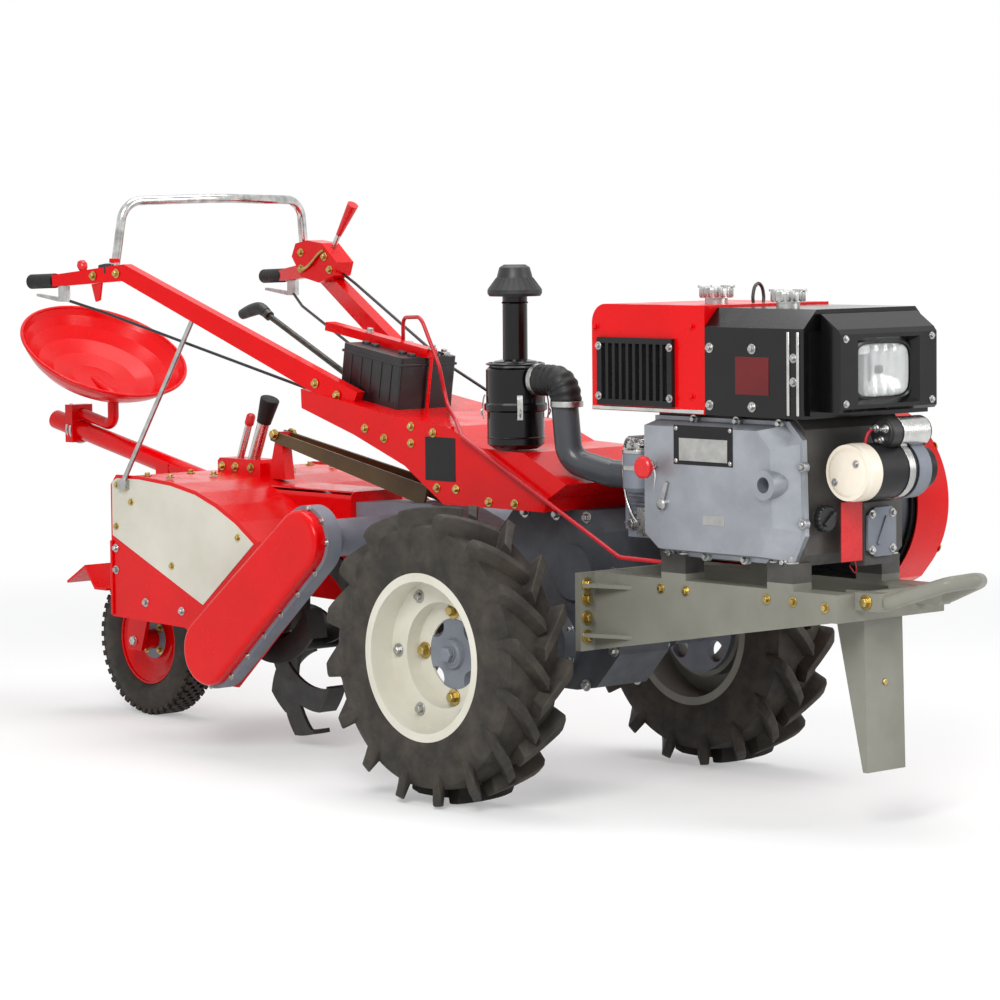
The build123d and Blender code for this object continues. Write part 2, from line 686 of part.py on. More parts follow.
def air_cleaner():
    """Oil-bath cleaner: bowl, body and riser pipe."""
    wall = revolve(make_face(Polyline(
        (0, 0, CLEAN_Z0), (CLEAN_R - 16, 0, CLEAN_Z0), (CLEAN_R - 2, 0, CLEAN_Z0 + 10),
        (CLEAN_R - 2, 0, 815), (CLEAN_R + 4, 0, 819), (CLEAN_R + 4, 0, 831), (CLEAN_R, 0, 835),
        (CLEAN_R, 0, CLEAN_Z1 - 22), (CLEAN_R - 18, 0, CLEAN_Z1 - 4), (STACK_R, 0, CLEAN_Z1),
        (STACK_R, 0, STACK_TOP), (0, 0, STACK_TOP), close=True)), axis=Axis.Z)
    return Pos(CLEAN_X, CLEAN_Y, 0) * wall


def precleaner_cap():
    """Domed cap on the cleaner's riser."""
    cap = revolve(make_face(Polyline(
        (0, 0, STACK_TOP), (PRECAP_R - 4, 0, STACK_TOP), (PRECAP_R, 0, STACK_TOP + 6),
        (PRECAP_R, 0, STACK_TOP + 14), (PRECAP_R * 0.66, 0, STACK_TOP + 40),
        (PRECAP_R * 0.56, 0, PRECAP_TOP - 6), (PRECAP_R * 0.4, 0, PRECAP_TOP),
        (0, 0, PRECAP_TOP), close=True)), axis=Axis.Z)
    return Pos(CLEAN_X, CLEAN_Y, 0) * cap


def intake_pipe():
    """Pipe from the cleaner's side, down and into the cylinder head."""
    run = [
        (CLEAN_X + 60, CLEAN_Y, 885), (80, CLEAN_Y + 4, 885), (96, -126, 715),
        (190, -90, 690), (HEAD_REAR + 60, -70, 690),
    ]
    return bent_tube(run, [48, 50, 40], PIPE_R) - air_cleaner() - cylinder_head()


def fuel_filter():
    """Fuel filter can on the head's right side."""
    y = -HEAD_HALF_W - FILTER_GAP
    can = Pos(FILTER_X, y, FILTER_Z) * Cylinder(FILTER_R, FILTER_H)
    can = chamfer(can.edges().group_by(Axis.Z)[0], 8)
    arm_z = FILTER_Z + FILTER_H / 2 - 16
    return can + block(FILTER_X - 12, FILTER_X + 12, y, -HEAD_HALF_W, arm_z, arm_z + 12)


def injection_pump():
    """Injection pump on the head's right side, below the filter."""
    body = block(330, BLOCK_REAR, -HEAD_HALF_W - 60, -HEAD_HALF_W, 570, 630)
    return body + Pos(356, -HEAD_HALF_W - 30, 642) * Cylinder(15, 26)


CONSOLE_PROFILE = [
    (-755, 844), (-753, 800), (-567, 746), (-393, 684), (-264, BOX_TOP), (61, BOX_TOP),
    (71, 632), (132, 668), (-3, 729), (-136, 734), (-248, 776), (-440, 795),
]


def console_block():
    """The console's whole outer form."""
    return slab(CONSOLE_PROFILE, -CONSOLE_HALF_W, CONSOLE_HALF_W)


def handle_console():
    """Folded sheet console on the gearbox."""
    t = SHEET_T
    floor = BOX_TOP + t
    hollow = [
        (-755 + t, 838), (-753 + t, 806), (-567, 752), (-390, 689), (-262, floor), (61 - t, floor),
        (71 - t, 636), (122, 666), (-5, 729 - t), (-137, 734 - t), (-250, 776 - t), (-440, 795 - t),
    ]
    return console_block() - slab(hollow, t - CONSOLE_HALF_W, CONSOLE_HALF_W - t)


def handle_arm(side):
    """Rectangular tube arm from the console to its grip, deepest at its base."""
    base, bend, end = [Vector(x, side * abs(y), z) for x, y, z in (ARM_BASE, ARM_BEND, ARM_END)]
    first, second = (bend - base).normalized(), (end - bend).normalized()
    stations = [
        (base, first, ARM_BASE_H), (bend, first + second, ARM_BEND_H), (end, second, ARM_END_H),
    ]
    faces = [
        Plane(origin=at, z_dir=along, x_dir=(0, 0, 1)) * Rectangle(height, ARM_W)
        for at, along, height in stations
    ]
    arm = loft(faces[:2], ruled=True) + loft(faces[1:], ruled=True)
    return arm - console_block()


def handle_grips():
    """Rubber grips on the arms' ends."""
    grips = []
    for side in (-1, 1):
        start = Vector(ARM_END[0], side * abs(ARM_END[1]), ARM_END[2])
        end = Vector(GRIP_END[0], side * abs(GRIP_END[1]), GRIP_END[2])
        grip = rod(tuple(start), tuple(end), GRIP_R)
        grips.append(chamfer(grip.edges().sort_by(Axis.X)[0], 5) - handle_arm(side))
    return grips


def steering_lever(side):
    """Steering clutch lever under one grip."""
    y = side * abs(ARM_END[1])
    lever = slab([
        (-1408, 1078), (-1408, 1040), (-1440, 1040), (-1530, 1052), (-1530, 1058), (-1440, 1050),
        (-1440, 1078),
    ], y - 6, y + 6)
    return lever - handle_arm(side)


def steering_levers():
    """Steering clutch lever under each grip."""
    return [steering_lever(side) for side in (-1, 1)]


def handle_hoop():
    """Round tube hoop across the two arms, leaning forwards."""
    foot, top = HOOP_FOOT_Z, HOOP_TOP - HOOP_R
    points = [
        (HOOP_X, -HOOP_HALF_W - 14, foot), (HOOP_X + 10, -HOOP_HALF_W + 8, top - 6),
        (HOOP_X + HOOP_LEAN, 0, top), (HOOP_X + 10, HOOP_HALF_W - 8, top - 6),
        (HOOP_X, HOOP_HALF_W + 14, foot),
    ]
    return bent_tube(points, [54, 600, 54], HOOP_R) - handle_arm(-1) - handle_arm(1)


def control_box():
    """Sheet bracket for the clutch lever on the inner side of the left arm."""
    body = slab([
        (-1277, 1140), (-1262, 1172), (-1218, 1180), (-1160, 1173), (-1103, 1126), (-1115, 1094),
        (-1173, 1076), (-1240, 1090),
    ], 230, 284)
    return body - handle_arm(1)


def clutch_lever():
    """Main clutch lever with a tapered handle."""
    y = LEVER_Y
    bend = Vector(-1125, y, 1193)
    lower = rod((-1156, y, 1150), tuple(bend), 6) - control_box()
    handle = Plane(origin=bend, z_dir=(56, 0, 74)) * Cone(
        7, 14, 92, align=(Align.CENTER, Align.CENTER, Align.MIN))
    return lower + handle


def gear_shift_lever():
    """Gear lever with a cranked grip, out of the console's top."""
    y = SHIFT_Y
    lever = rod((-680, y, 842), (-1028, y, 1003), 7) - console_block() - battery_box()
    grip = bent_tube([(-1028, y, 1003), (-1066, y, 1024), (-1131, y, 1006)], [26], 12)
    return lever + grip


def battery_frame():
    """Plane of the battery on the sloping console top."""
    slope = math.atan2(844 - 795, 755 - 440)
    along = (math.cos(slope), 0, -math.sin(slope))
    up = (math.sin(slope), 0, math.cos(slope))
    return Plane(origin=(BATTERY_X, 0, 844 - (BATTERY_X + 755) * math.tan(slope)), x_dir=along, z_dir=up)


def battery_box():
    """Starter battery on the console."""
    box = Pos(0, BATTERY_Y, 0) * Box(
        BATTERY_L, BATTERY_W, BATTERY_H, align=(Align.CENTER, Align.CENTER, Align.MIN))
    return battery_frame() * fillet(box.edges().filter_by(Axis.Z), 6)


def battery_strap():
    """Hold-down bar over the battery on two rods."""
    bar = Pos(-72, BATTERY_Y, BATTERY_H) * Box(
        364, 30, 20, align=(Align.CENTER, Align.CENTER, Align.MIN))
    for x in (-BATTERY_L / 2 - 8, BATTERY_L / 2 + 8):
        bar += Pos(x, BATTERY_Y, 0) * Cylinder(
            4, BATTERY_H + 1, align=(Align.CENTER, Align.CENTER, Align.MIN))
    return battery_frame() * bar - battery_box() - gear_shift_lever()


def side_brace():
    """Rod from the right arm down to the hood's right side plate."""
    y = -HOOD_HALF_W - SIDE_T - PANEL_T
    foot = block(-1268, -1236, y - 12, y, 596, 618)
    return rod((-1252, y - 7, 612), (-1056, -243, 1010), 6) + foot - handle_arm(-1)


def control_cables():
    """Clutch cable, steering cables under the arms, and the starter's supply cable."""
    clutch = bent_tube([
        (-1130, 262, 1104), (-1059, 250, 1076), (-560, 112, 893), (-330, 75, 818), (-235, 60, 740),
    ], [60, 120, 60], CABLE_R)
    cables = [clutch - control_box() - console_block()]
    for side in (-1, 1):
        run = bent_tube([
            (-1424, side * 352, 1046), (-1330, side * 305, 1015), (-740, side * 132, 835),
        ], [60], CABLE_R)
        cables.append(run - steering_lever(side) - console_block())
    supply = bent_tube([
        (-606, 14, 930), (-590, 0, 1006), (-482, -40, 1010), (-434, -28, 900), (-440, 0, 809),
        (-232, -158, 790), (-184, -184, 758), (62, -182, 640), (300, -178, 525), (412, -150, 520),
    ], [30, 30, 60, 40, 30, 24, 200, 40], SUPPLY_CABLE_R)
    cables.append(supply - battery_box() - crankcase())
    return cables


def tiller_drive_case():
    """Gear housing behind the gearbox, with the cross tube to the chain case."""
    body = slab([
        (BOX_REAR, 345), (BOX_REAR, 505), (-430, 590), (BONNET_FRONT, 580), (BONNET_FRONT, 505),
        (-600, 470), (-450, 420),
    ], -62, 62)
    return body + disc(DRIVE_X, DRIVE_Z, CROSS_R, -HOOD_HALF_W - SIDE_T, HOOD_HALF_W + SIDE_T)


def side_outline():
    """Outline of the tiller's side plates, close round the hood."""
    return [
        (-1314, 288), (-1314, 604), (-1292, 628), (-1200, 629), (-1076, 621), (-983, 605),
        (-904, 580), (-828, 546), (-757, 501), (-690, 500), (-590, 562), (-520, 580),
        (-466, 520), (-478, 470), (-830, 160), (-900, 160), (-960, 240), (-1030, 282),
    ]


def tiller_sides():
    """Side plates of the tiller's hood, with holes for the cross tube and the rotor."""
    plates = []
    for side in (-1, 1):
        y0, y1 = side * HOOD_HALF_W, side * (HOOD_HALF_W + SIDE_T)
        plate = slab(side_outline(), y0, y1)
        plate -= disc(DRIVE_X, DRIVE_Z, CROSS_R, y0 - side, y1 + side)
        plate -= disc(ROTOR_X, ROTOR_Z, 40, y0 - side, y1 + side)
        plates.append(plate)
    return plates


def side_panels():
    """White cover panel on the outer face of each side plate."""
    outline = [
        (-1306, 483), (-1306, 612), (-1286, 620), (-1200, 621), (-1077, 612), (-985, 596),
        (-909, 571), (-834, 537), (-766, 494), (-957, 341),
    ]
    panels = []
    for side in (-1, 1):
        y0 = side * (HOOD_HALF_W + SIDE_T)
        panels.append(slab(outline, y0, y0 + side * PANEL_T))
    return panels


HOOD_PROFILE = [
    (-1310, 420), (-1310, 600), (-1290, HOOD_TOP), (-1200, HOOD_TOP + 1), (-1077, 616), (-985, 600),
    (-906, 575), (-830, 541), (-760, 497), (-715, 462),
]


def tiller_hood():
    """Barrel-shaped sheet over the rotor, with a box over the drive's rear end."""
    t = HOOD_T
    inner = [(x + 0.5, z - t) for x, z in HOOD_PROFILE[2:]]
    inner = [(HOOD_PROFILE[0][0] + t, HOOD_PROFILE[0][1]), (HOOD_PROFILE[1][0] + t, 598)] + inner
    hood = slab(HOOD_PROFILE + inner[::-1], -HOOD_HALF_W, HOOD_HALF_W)
    bonnet = block(-1000, BONNET_FRONT, -BONNET_HALF_W, BONNET_HALF_W, 505, BONNET_TOP)
    bonnet = fillet(bonnet.edges().filter_by(Axis.X).group_by(Axis.Z)[-1], 18)
    bonnet -= block(-1001, BONNET_FRONT - t, t - BONNET_HALF_W, BONNET_HALF_W - t, 500, BONNET_TOP - t)
    return hood + (bonnet - under_hood())


def under_hood():
    """Everything below the hood's outer face."""
    return slab(HOOD_PROFILE + [(-715, 300), (-1310, 300)], -HOOD_HALF_W, HOOD_HALF_W)


def chain_outline(shrink):
    """Chain case's outline between its two sprockets."""
    upper = Pos(DRIVE_X, DRIVE_Z) * Circle(CASE_TOP_R - shrink)
    lower = Pos(ROTOR_X, ROTOR_Z) * Circle(CASE_LOW_R - shrink)
    return make_hull(upper.edges() + lower.edges())


def chain_case():
    """Cast chain case on the right side plate."""
    y0 = HOOD_HALF_W + SIDE_T
    return Pos(0, -y0, 0) * extrude(Plane.XZ * chain_outline(0), CASE_T)


def chain_cover():
    """Pressed cover bolted on the chain case."""
    y0 = HOOD_HALF_W + SIDE_T + CASE_T
    cover = Pos(0, -y0, 0) * extrude(Plane.XZ * chain_outline(COVER_RIM), COVER_DEPTH)
    return fillet(cover.faces().sort_by(Axis.Y)[0].edges(), 12)


def rotor_shaft():
    """Tine shaft between the chain case and the left bearing."""
    y = HOOD_HALF_W + SIDE_T - SEAT_CLEAR
    return disc(ROTOR_X, ROTOR_Z, ROTOR_SHAFT_R, -y, y)


def tine():
    """One sabre-shaped tine about the rotor's axis, its end bent along the cutting circle to +Y."""
    root = ROTOR_SHAFT_R - 2
    first, last = TINE_START, TINE_START + TINE_REACH * 2 / 3
    middle = (first + last) / 2
    low, high = polar(TINE_R, first), polar(TINE_R, last)
    shank = make_face([
        ThreePointArc((root, 0, -22), (128, 0, -26), low),
        ThreePointArc(low, polar(TINE_R, middle), high),
        ThreePointArc(high, (122, 0, 30), (root, 0, 22)),
        Line((root, 0, 22), (root, 0, -22)),
    ])
    inner_low, inner_high = polar(TINE_R - TINE_TIP_T, first), polar(TINE_R - TINE_TIP_T, last)
    tip = make_face([
        ThreePointArc(low, polar(TINE_R, middle), high), Line(high, inner_high),
        ThreePointArc(inner_high, polar(TINE_R - TINE_TIP_T, middle), inner_low),
        Line(inner_low, low),
    ])
    along = Pos(0, -TINE_T / 2, 0)
    return along * (extrude(shank, TINE_T, dir=(0, 1, 0))
                    + extrude(tip, TINE_TIP_W + TINE_T / 2, dir=(0, 1, 0)))


def tines():
    """Eight pairs of tines, each pair turned from the last and facing the middle."""
    blades = []
    for i in range(TINE_ROWS):
        y = (i - (TINE_ROWS - 1) / 2) * TINE_PITCH
        for k in (0, 1):
            blade = Rot(0, 180 * k + TINE_STEP * i, 0) * tine()
            if i >= TINE_ROWS / 2:
                blade = mirror(blade, Plane.XZ)
            blades.append(Pos(ROTOR_X, y, ROTOR_Z) * blade - rotor_shaft())
    return blades


def rear_flap():
    """Rubber flap behind the hood."""
    return block(-1320, -1310 - SEAT_CLEAR, -HOOD_HALF_W + 10, HOOD_HALF_W - 10, 400, 560)


def depth_adjuster():
    """Clamp and cone post on the hood that set the working depth."""
    top = HOOD_TOP
    base = block(ADJUSTER_REAR, ADJUSTER_FRONT, -ADJUSTER_W / 2, ADJUSTER_W / 2, top - 10, top + 34)
    base = chamfer(base.edges().filter_by(Axis.Y).group_by(Axis.Z)[-1], 8)
    post = slab([(-1074, top - 10), (-1040, top + 104), (-1024, top + 104), (-1008, top - 10)], -14, 14)
    for tube in depth_screw():
        base -= tube
    return [base - under_hood(), post - under_hood()]


def depth_screw():
    """Two sloping tubes in the clamp: the screw with its flared grip and the short lock."""
    top = HOOD_TOP
    foot, head = Vector(-1152, 0, top + 20), Vector(-1104, 0, top + 128)
    screw = rod(tuple(foot), tuple(head), SCREW_R)
    screw += Plane(origin=head, z_dir=head - foot) * Cone(
        SCREW_R + 1, SCREW_R + 7, 56, align=(Align.CENTER, Align.CENTER, Align.MIN))
    lock = rod((-1205, 0, top + 20), (-1163, 0, top + 118), LOCK_R)
    return [screw, lock]


def link_bars():
    """Two flat bars from the depth post down to the drive case."""
    bars = []
    for side in (-1, 1):
        start = Vector(-1040, side * 16, HOOD_TOP + 92)
        end = Vector(-480, side * 50, 606)
        run = end - start
        frame = Plane(origin=start, x_dir=run, z_dir=(0, side, 0.1))
        outline = frame * make_face(Polyline(
            (-12, -12, 0), (run.length, -24, 0), (run.length, 22, 0), (-12, 12, 0), close=True))
        bars.append(extrude(outline, 6) - tiller_drive_case() - tiller_hood())
    return bars


def tail_fork():
    """Fork over the tail wheel on a post under the seat beam, with foot rests."""
    crown = block(TAIL_X + 20, TAIL_X + 100, -FORK_Y - FORK_T, FORK_Y + FORK_T, CROWN_LOW, CROWN_TOP)
    crown += block(TAIL_X + 30, TAIL_X + 80, -POST_HALF_W, POST_HALF_W, CROWN_TOP, 700)
    crown -= seat_beam()
    crown -= block(TAIL_X, TAIL_X + 120, -40, 40, beam_height(TAIL_X + 30), 800)
    for side in (-1, 1):
        y0, y1 = side * FORK_Y, side * (FORK_Y + FORK_T)
        leg = slab([
            (TAIL_X + 20, CROWN_TOP), (TAIL_X + 100, CROWN_TOP), (TAIL_X + 100, CROWN_LOW - 12),
            (TAIL_X + 28, TAIL_R - 24), (TAIL_X - 28, TAIL_R - 24), (TAIL_X - 28, TAIL_R + 24),
        ], y0, y1)
        crown += leg
        crown += slab([
            (TAIL_X - 154, 330), (TAIL_X - 80, 372), (TAIL_X - 40, 322), (TAIL_X + 10, 322),
            (TAIL_X + 10, 328), (TAIL_X - 37, 328), (TAIL_X - 79, 380), (TAIL_X - 157, 335),
        ], y0, y1 + side * PEDAL_W)
        crown -= disc(TAIL_X, TAIL_R, TAIL_AXLE_R + RUN_CLEAR, y0 - side, y1 + side)
    return crown


def tail_tyre():
    """Tail wheel's tyre."""
    w = TAIL_HALF_W
    ring = turned([
        (TAIL_RIM_R + SEAT_CLEAR, w * 0.7), (TAIL_RIM_R + 24, w), (TAIL_R - 18, w * 0.95),
        (TAIL_R, w * 0.6), (TAIL_R, -w * 0.6), (TAIL_R - 18, -w * 0.95), (TAIL_RIM_R + 24, -w),
        (TAIL_RIM_R + SEAT_CLEAR, -w * 0.7),
    ])
    return Pos(TAIL_X, 0, TAIL_R) * ring


def tail_rim():
    """Tail wheel's rim with its hub and axle."""
    w = TAIL_HALF_W * 0.7
    r = TAIL_RIM_R
    axle_y = FORK_Y + FORK_T + 2
    half = [
        (0, axle_y), (TAIL_AXLE_R, axle_y), (TAIL_AXLE_R, FORK_Y - 4), (24, FORK_Y - 4), (24, 16),
        (50, 16), (50, 8), (66, 8), (r - 14, w - 12), (r - 5, w - 6), (r - 5, w), (r, w),
    ]
    rim = turned(half + [(radius, -y) for radius, y in reversed(half)])
    return Pos(TAIL_X, 0, TAIL_R) * rim


def beam_height(x):
    """Height of the seat beam's centre line at x."""
    return 718 - (x + 1943) * 0.2035


def seat_beam():
    """Round beam from the hood's rear wall back to the seat."""
    front = -1311
    return rod((front, 0, beam_height(front)), (-1962, 0, beam_height(-1962)), BEAM_R)


def seat_tube():
    """Seat beam with its clamp and the sprung post under the pan."""
    beam = seat_beam() - block(-1310, -1200, -60, 60, 400, 700)
    arm_z = BEAM_R + 18
    post = bent_tube([
        (-1900, 0, beam_height(-1900) + arm_z), (-1716, 0, beam_height(-1716) + arm_z),
        (-1716, 0, 790), (-1800, 0, 826),
    ], [22, 30], POST_R)
    clamp = block(-1880, -1850, -32, 32, beam_height(-1865) - 34, beam_height(-1865) + 62)
    return beam + clamp + post - seat_pan()


def seat_pan():
    """Pressed seat dish, its oval rim tilted so that the back stands up."""
    depth, wall = SEAT_DEPTH, SEAT_WALL
    steps = ((1.0, 0), (0.95, 0.2), (0.86, 0.44), (0.72, 0.7), (0.52, 0.9), (0.28, 1.0))
    rings = []
    for inset in (0, wall):
        sections = []
        for share, drop in steps:
            plane = Pos(0, 0, -drop * (depth - inset))
            sections.append(plane * Ellipse(
                SEAT_HALF_L * share - inset, SEAT_HALF_W * share - inset))
        rings.append(loft(sections, ruled=True))
    dish = rings[0] - rings[1]
    return Pos(SEAT_X, 0, SEAT_Z) * Rot(0, SEAT_TILT, 0) * dish


NODES = {
    "frame_rails": frame_rails,
    "frame_crossmembers": frame_crossmembers,
    "front_bumper": front_bumper,
    "front_stand": front_stand,
    "gearbox": gearbox,
    "crankcase": crankcase,
    "gear_case_cover": gear_case_cover,
    "cylinder_head": cylinder_head,
    "drive_pulleys": drive_pulleys,
    "drive_belts": drive_belts,
    "belt_guard": belt_guard,
    "radiator_shell": radiator_shell,
    "radiator_grilles": radiator_grilles,
    "fuel_tank": fuel_tank,
    "filler_caps": filler_caps,
    "lamp_bracket": lamp_bracket,
    "headlight_housing": headlight_housing,
    "headlight_lens": headlight_lens,
    "starter_motor": starter_motor,
    "air_cleaner": air_cleaner,
    "precleaner_cap": precleaner_cap,
    "intake_pipe": intake_pipe,
    "fuel_filter": fuel_filter,
    "injection_pump": injection_pump,
    "handle_console": handle_console,
    "handle_arm_right": lambda: handle_arm(-1),
    "handle_arm_left": lambda: handle_arm(1),
    "handle_grips": handle_grips,
    "handle_hoop": handle_hoop,
    "steering_levers": steering_levers,
    "control_box": control_box,
    "clutch_lever": clutch_lever,
    "gear_shift_lever": gear_shift_lever,
    "battery_box": battery_box,
    "battery_strap": battery_strap,
    "control_cables": control_cables,
    "side_brace": side_brace,
    "link_bars": link_bars,
    "tiller_drive_case": tiller_drive_case,
    "tiller_sides": tiller_sides,
    "tiller_hood": tiller_hood,
    "side_panels": side_panels,
    "chain_case": chain_case,
    "chain_cover": chain_cover,
    "rotor_shaft": rotor_shaft,
    "tines": tines,
    "rear_flap": rear_flap,
    "depth_adjuster": depth_adjuster,
    "depth_screw": depth_screw,
    "tail_fork": tail_fork,
    "tail_tyre": tail_tyre,
    "tail_rim": tail_rim,
    "seat_tube": seat_tube,
    "seat_pan": seat_pan,
    "tyre_right": lambda: place_wheel(drive_tyre(), -1),
    "tyre_left": lambda: place_wheel(drive_tyre(), 1),
    "rim_right": lambda: place_wheel(drive_rim(), -1),
    "rim_left": lambda: place_wheel(drive_rim(), 1),
    "half_axle_right": lambda: place_wheel(half_axle(), -1),
    "half_axle_left": lambda: place_wheel(half_axle(), 1),
}


def whole(shape):
    """One compound from a shape or a list of separate pieces."""
    return Compound(list(shape)) if isinstance(shape, list) else shape


made = {}
for name, make in NODES.items():
    made[name] = whole(make())

ends = Compound([*made.values()]).bounding_box()
MIDDLE_X = (ends.min.X + ends.max.X) / 2
print("drive axle at x =", round(-MIDDLE_X, 3))
for name, shape in made.items():
    export_step(Pos(-MIDDLE_X, 0, 0) * shape, f"parts/{name}.step")
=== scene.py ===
import math
import bpy
import bmesh
import numpy as np
from mathutils import Matrix, Vector


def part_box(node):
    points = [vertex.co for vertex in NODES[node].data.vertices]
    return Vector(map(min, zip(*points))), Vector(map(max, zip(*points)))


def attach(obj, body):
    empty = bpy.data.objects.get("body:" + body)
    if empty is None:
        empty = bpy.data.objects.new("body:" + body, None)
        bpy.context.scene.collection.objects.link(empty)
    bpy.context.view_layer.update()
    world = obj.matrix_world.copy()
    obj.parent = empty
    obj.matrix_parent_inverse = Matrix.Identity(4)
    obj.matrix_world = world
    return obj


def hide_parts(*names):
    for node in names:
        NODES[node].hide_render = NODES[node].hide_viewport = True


# Power tiller with a flat diesel engine, a rotary tiller, a seat and a tail wheel.
# Pieces are worked out in millimetres from the drive axle, then moved to the frame in metres.

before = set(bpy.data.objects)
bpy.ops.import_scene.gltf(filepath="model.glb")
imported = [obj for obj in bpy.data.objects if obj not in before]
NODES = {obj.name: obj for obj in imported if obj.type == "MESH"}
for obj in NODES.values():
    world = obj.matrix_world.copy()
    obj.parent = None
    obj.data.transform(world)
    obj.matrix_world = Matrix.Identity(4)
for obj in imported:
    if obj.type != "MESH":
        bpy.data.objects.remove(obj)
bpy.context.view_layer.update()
MM = 0.001
TURN = 2 * math.pi

# The drive axle's place along the machine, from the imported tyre
tyre_low, tyre_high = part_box("tyre_right")
AXLE_X = (tyre_low[0] + tyre_high[0]) / 2
AXLE_Z = 315.0
TRACK_HALF = 397.0
TAIL_X, TAIL_Z = -1538.0, 190.0
ROTOR_X, ROTOR_Z = -870.0, 246.0
DRIVE_X, DRIVE_Z = -530.0, 520.0

# Ways out of a surface, and each side's sign, name and way out
UP, FRONT, REAR, RIGHT, LEFT = (0, 0, 1), (1, 0, 0), (-1, 0, 0), (0, -1, 0), (0, 1, 0)
SIDES = ((-1, "right", RIGHT), (1, "left", LEFT))


def to_frame(points):
    """Points in millimetres from the drive axle, as metres in the object's frame."""
    return np.asarray(points, float) * MM + np.array([AXLE_X, 0.0, 0.0])


# Shapes are pairs of a vertex array and a list of faces


def grid_faces(rows, columns, wrap_rows=False):
    """Quads of a grid of points stored row by row, its columns joined round, its rows if asked."""
    r, c = np.indices((rows if wrap_rows else rows - 1, columns)).reshape(2, -1)
    r2, c2 = (r + 1) % rows, (c + 1) % columns
    return np.stack([r * columns + c, r * columns + c2, r2 * columns + c2, r2 * columns + c], 1).tolist()


def capped_faces(rows, columns):
    """The grid's quads, with its first and last rows closed by flat faces."""
    first = list(range(columns))
    return grid_faces(rows, columns) + [first[::-1], [(rows - 1) * columns + i for i in first]]


def angles(count):
    """Evenly spaced angles once round a circle."""
    return np.arange(count) * TURN / count


def lathe(profile, sides):
    """Each (radius, height) of the profile goes once round Z: (r cos a, r sin a, h)."""
    profile = np.asarray(profile, float)
    a = angles(sides)
    r, h = profile[:, 0:1], profile[:, 1:2]
    points = np.stack([r * np.cos(a), r * np.sin(a), h + 0 * a], -1)
    return points.reshape(-1, 3), grid_faces(len(profile), sides)


def band(inner, outer, low, high, sides):
    """A flat ring about Z, from the inner to the outer radius and from low to high."""
    return lathe([(inner, low), (outer, low), (outer, high), (inner, high), (inner, low)], sides)


def fluted(radius, depth, flutes, sides, levels, scales):
    """A cap with flutes: its radius is (r + d cos(n a)) times the scale at each level."""
    a = angles(sides)
    r = np.array(scales)[:, None] * (radius + depth * np.cos(flutes * a))
    points = np.stack([r * np.cos(a), r * np.sin(a), np.array(levels)[:, None] + 0 * a], -1)
    return points.reshape(-1, 3), capped_faces(len(levels), sides)


def curve(points, steps):
    """Catmull-Rom curve through the points: a cubic in t between each pair, blended by the basis."""
    p = np.asarray(points, float)
    p = np.vstack([2 * p[0] - p[1], p, 2 * p[-1] - p[-2]])
    t = np.linspace(0, 1, steps, endpoint=False)
    basis = 0.5 * np.stack([-t + 2 * t**2 - t**3, 2 - 5 * t**2 + 3 * t**3, t + 4 * t**2 - 3 * t**3,
                            -t**2 + t**3])
    runs = np.stack([p[:-3], p[1:-2], p[2:-1], p[3:]])
    return np.vstack([np.einsum("kt,kns->nts", basis, runs).reshape(-1, 3), p[-2]])


def sweep(path, section, up, grow=None):
    """The section's (side, height) points at each point of the path: P + s (T x up) + h (side x T)."""
    path, section = np.asarray(path, float), np.asarray(section, float)
    along = np.gradient(path, axis=0)
    along /= np.linalg.norm(along, axis=1, keepdims=True)
    side = np.cross(along, np.asarray(up, float))
    side /= np.linalg.norm(side, axis=1, keepdims=True)
    high = np.cross(side, along)
    grow = np.ones(len(path)) if grow is None else np.asarray(grow, float)
    s, h = section[None, :, 0:1], section[None, :, 1:2]
    points = path[:, None] + grow[:, None, None] * (s * side[:, None] + h * high[:, None])
    return points.reshape(-1, 3), capped_faces(len(path), len(section))


def circle(radius, sides):
    """Points (r cos a, r sin a) round a circle."""
    a = angles(sides)
    return np.stack([radius * np.cos(a), radius * np.sin(a)], 1)


def tube(points, radius, sides, steps, up=UP):
    """Round tube along a smooth curve through the points."""
    return sweep(curve(points, steps), circle(radius, sides), up)


def rect(a0, b0, a1, b1):
    """Corners of the rectangle from (a0, b0) to (a1, b1)."""
    return [(a0, b0), (a1, b0), (a1, b1), (a0, b1)]


def plate(outline, low, high, axis="y"):
    """An outline pulled straight from low to high along an axis."""
    outline = np.asarray(outline, float)
    ends = [np.insert(outline, "xyz".index(axis), level, axis=1) for level in (low, high)]
    return np.vstack(ends), capped_faces(2, len(outline))


def moved(shape, matrix):
    """The shape carried by a 4 x 4 matrix."""
    m = np.asarray(matrix, float)
    return shape[0] @ m[:3, :3].T + m[:3, 3], shape[1]


def shifted(shape, by):
    """The shape moved without turning."""
    return shape[0] + np.asarray(by, float), shape[1]


def joined(shapes):
    """Several shapes as one, face numbers shifted past the shapes before."""
    shapes = list(shapes)
    starts = np.cumsum([0] + [len(p) for p, _ in shapes])
    faces = [[i + int(s) for i in f] for s, (_, fs) in zip(starts, shapes) for f in fs]
    return np.vstack([p for p, _ in shapes]), faces


def turned(place, angle, axis="Z"):
    """Matrix that turns about an axis through the origin, then moves to a place."""
    return Matrix.Translation(Vector(place)) @ Matrix.Rotation(angle, 4, axis)


def facing(place, out, turn=0.0):
    """Matrix that sets a shape made about Z at a place, with Z along the way out."""
    spin = Vector(out).normalized().to_track_quat("Z", "Y").to_matrix().to_4x4()
    return Matrix.Translation(Vector(place)) @ spin @ Matrix.Rotation(turn, 4, "Z")


def at(shape, place, out, turn=0.0):
    """The shape, made about Z, set at a place with Z along the way out."""
    return moved(shape, facing(place, out, turn))


def at_each(shape, places, out):
    """The same shape at each place, all facing one way out."""
    return joined([at(shape, place, out) for place in places])


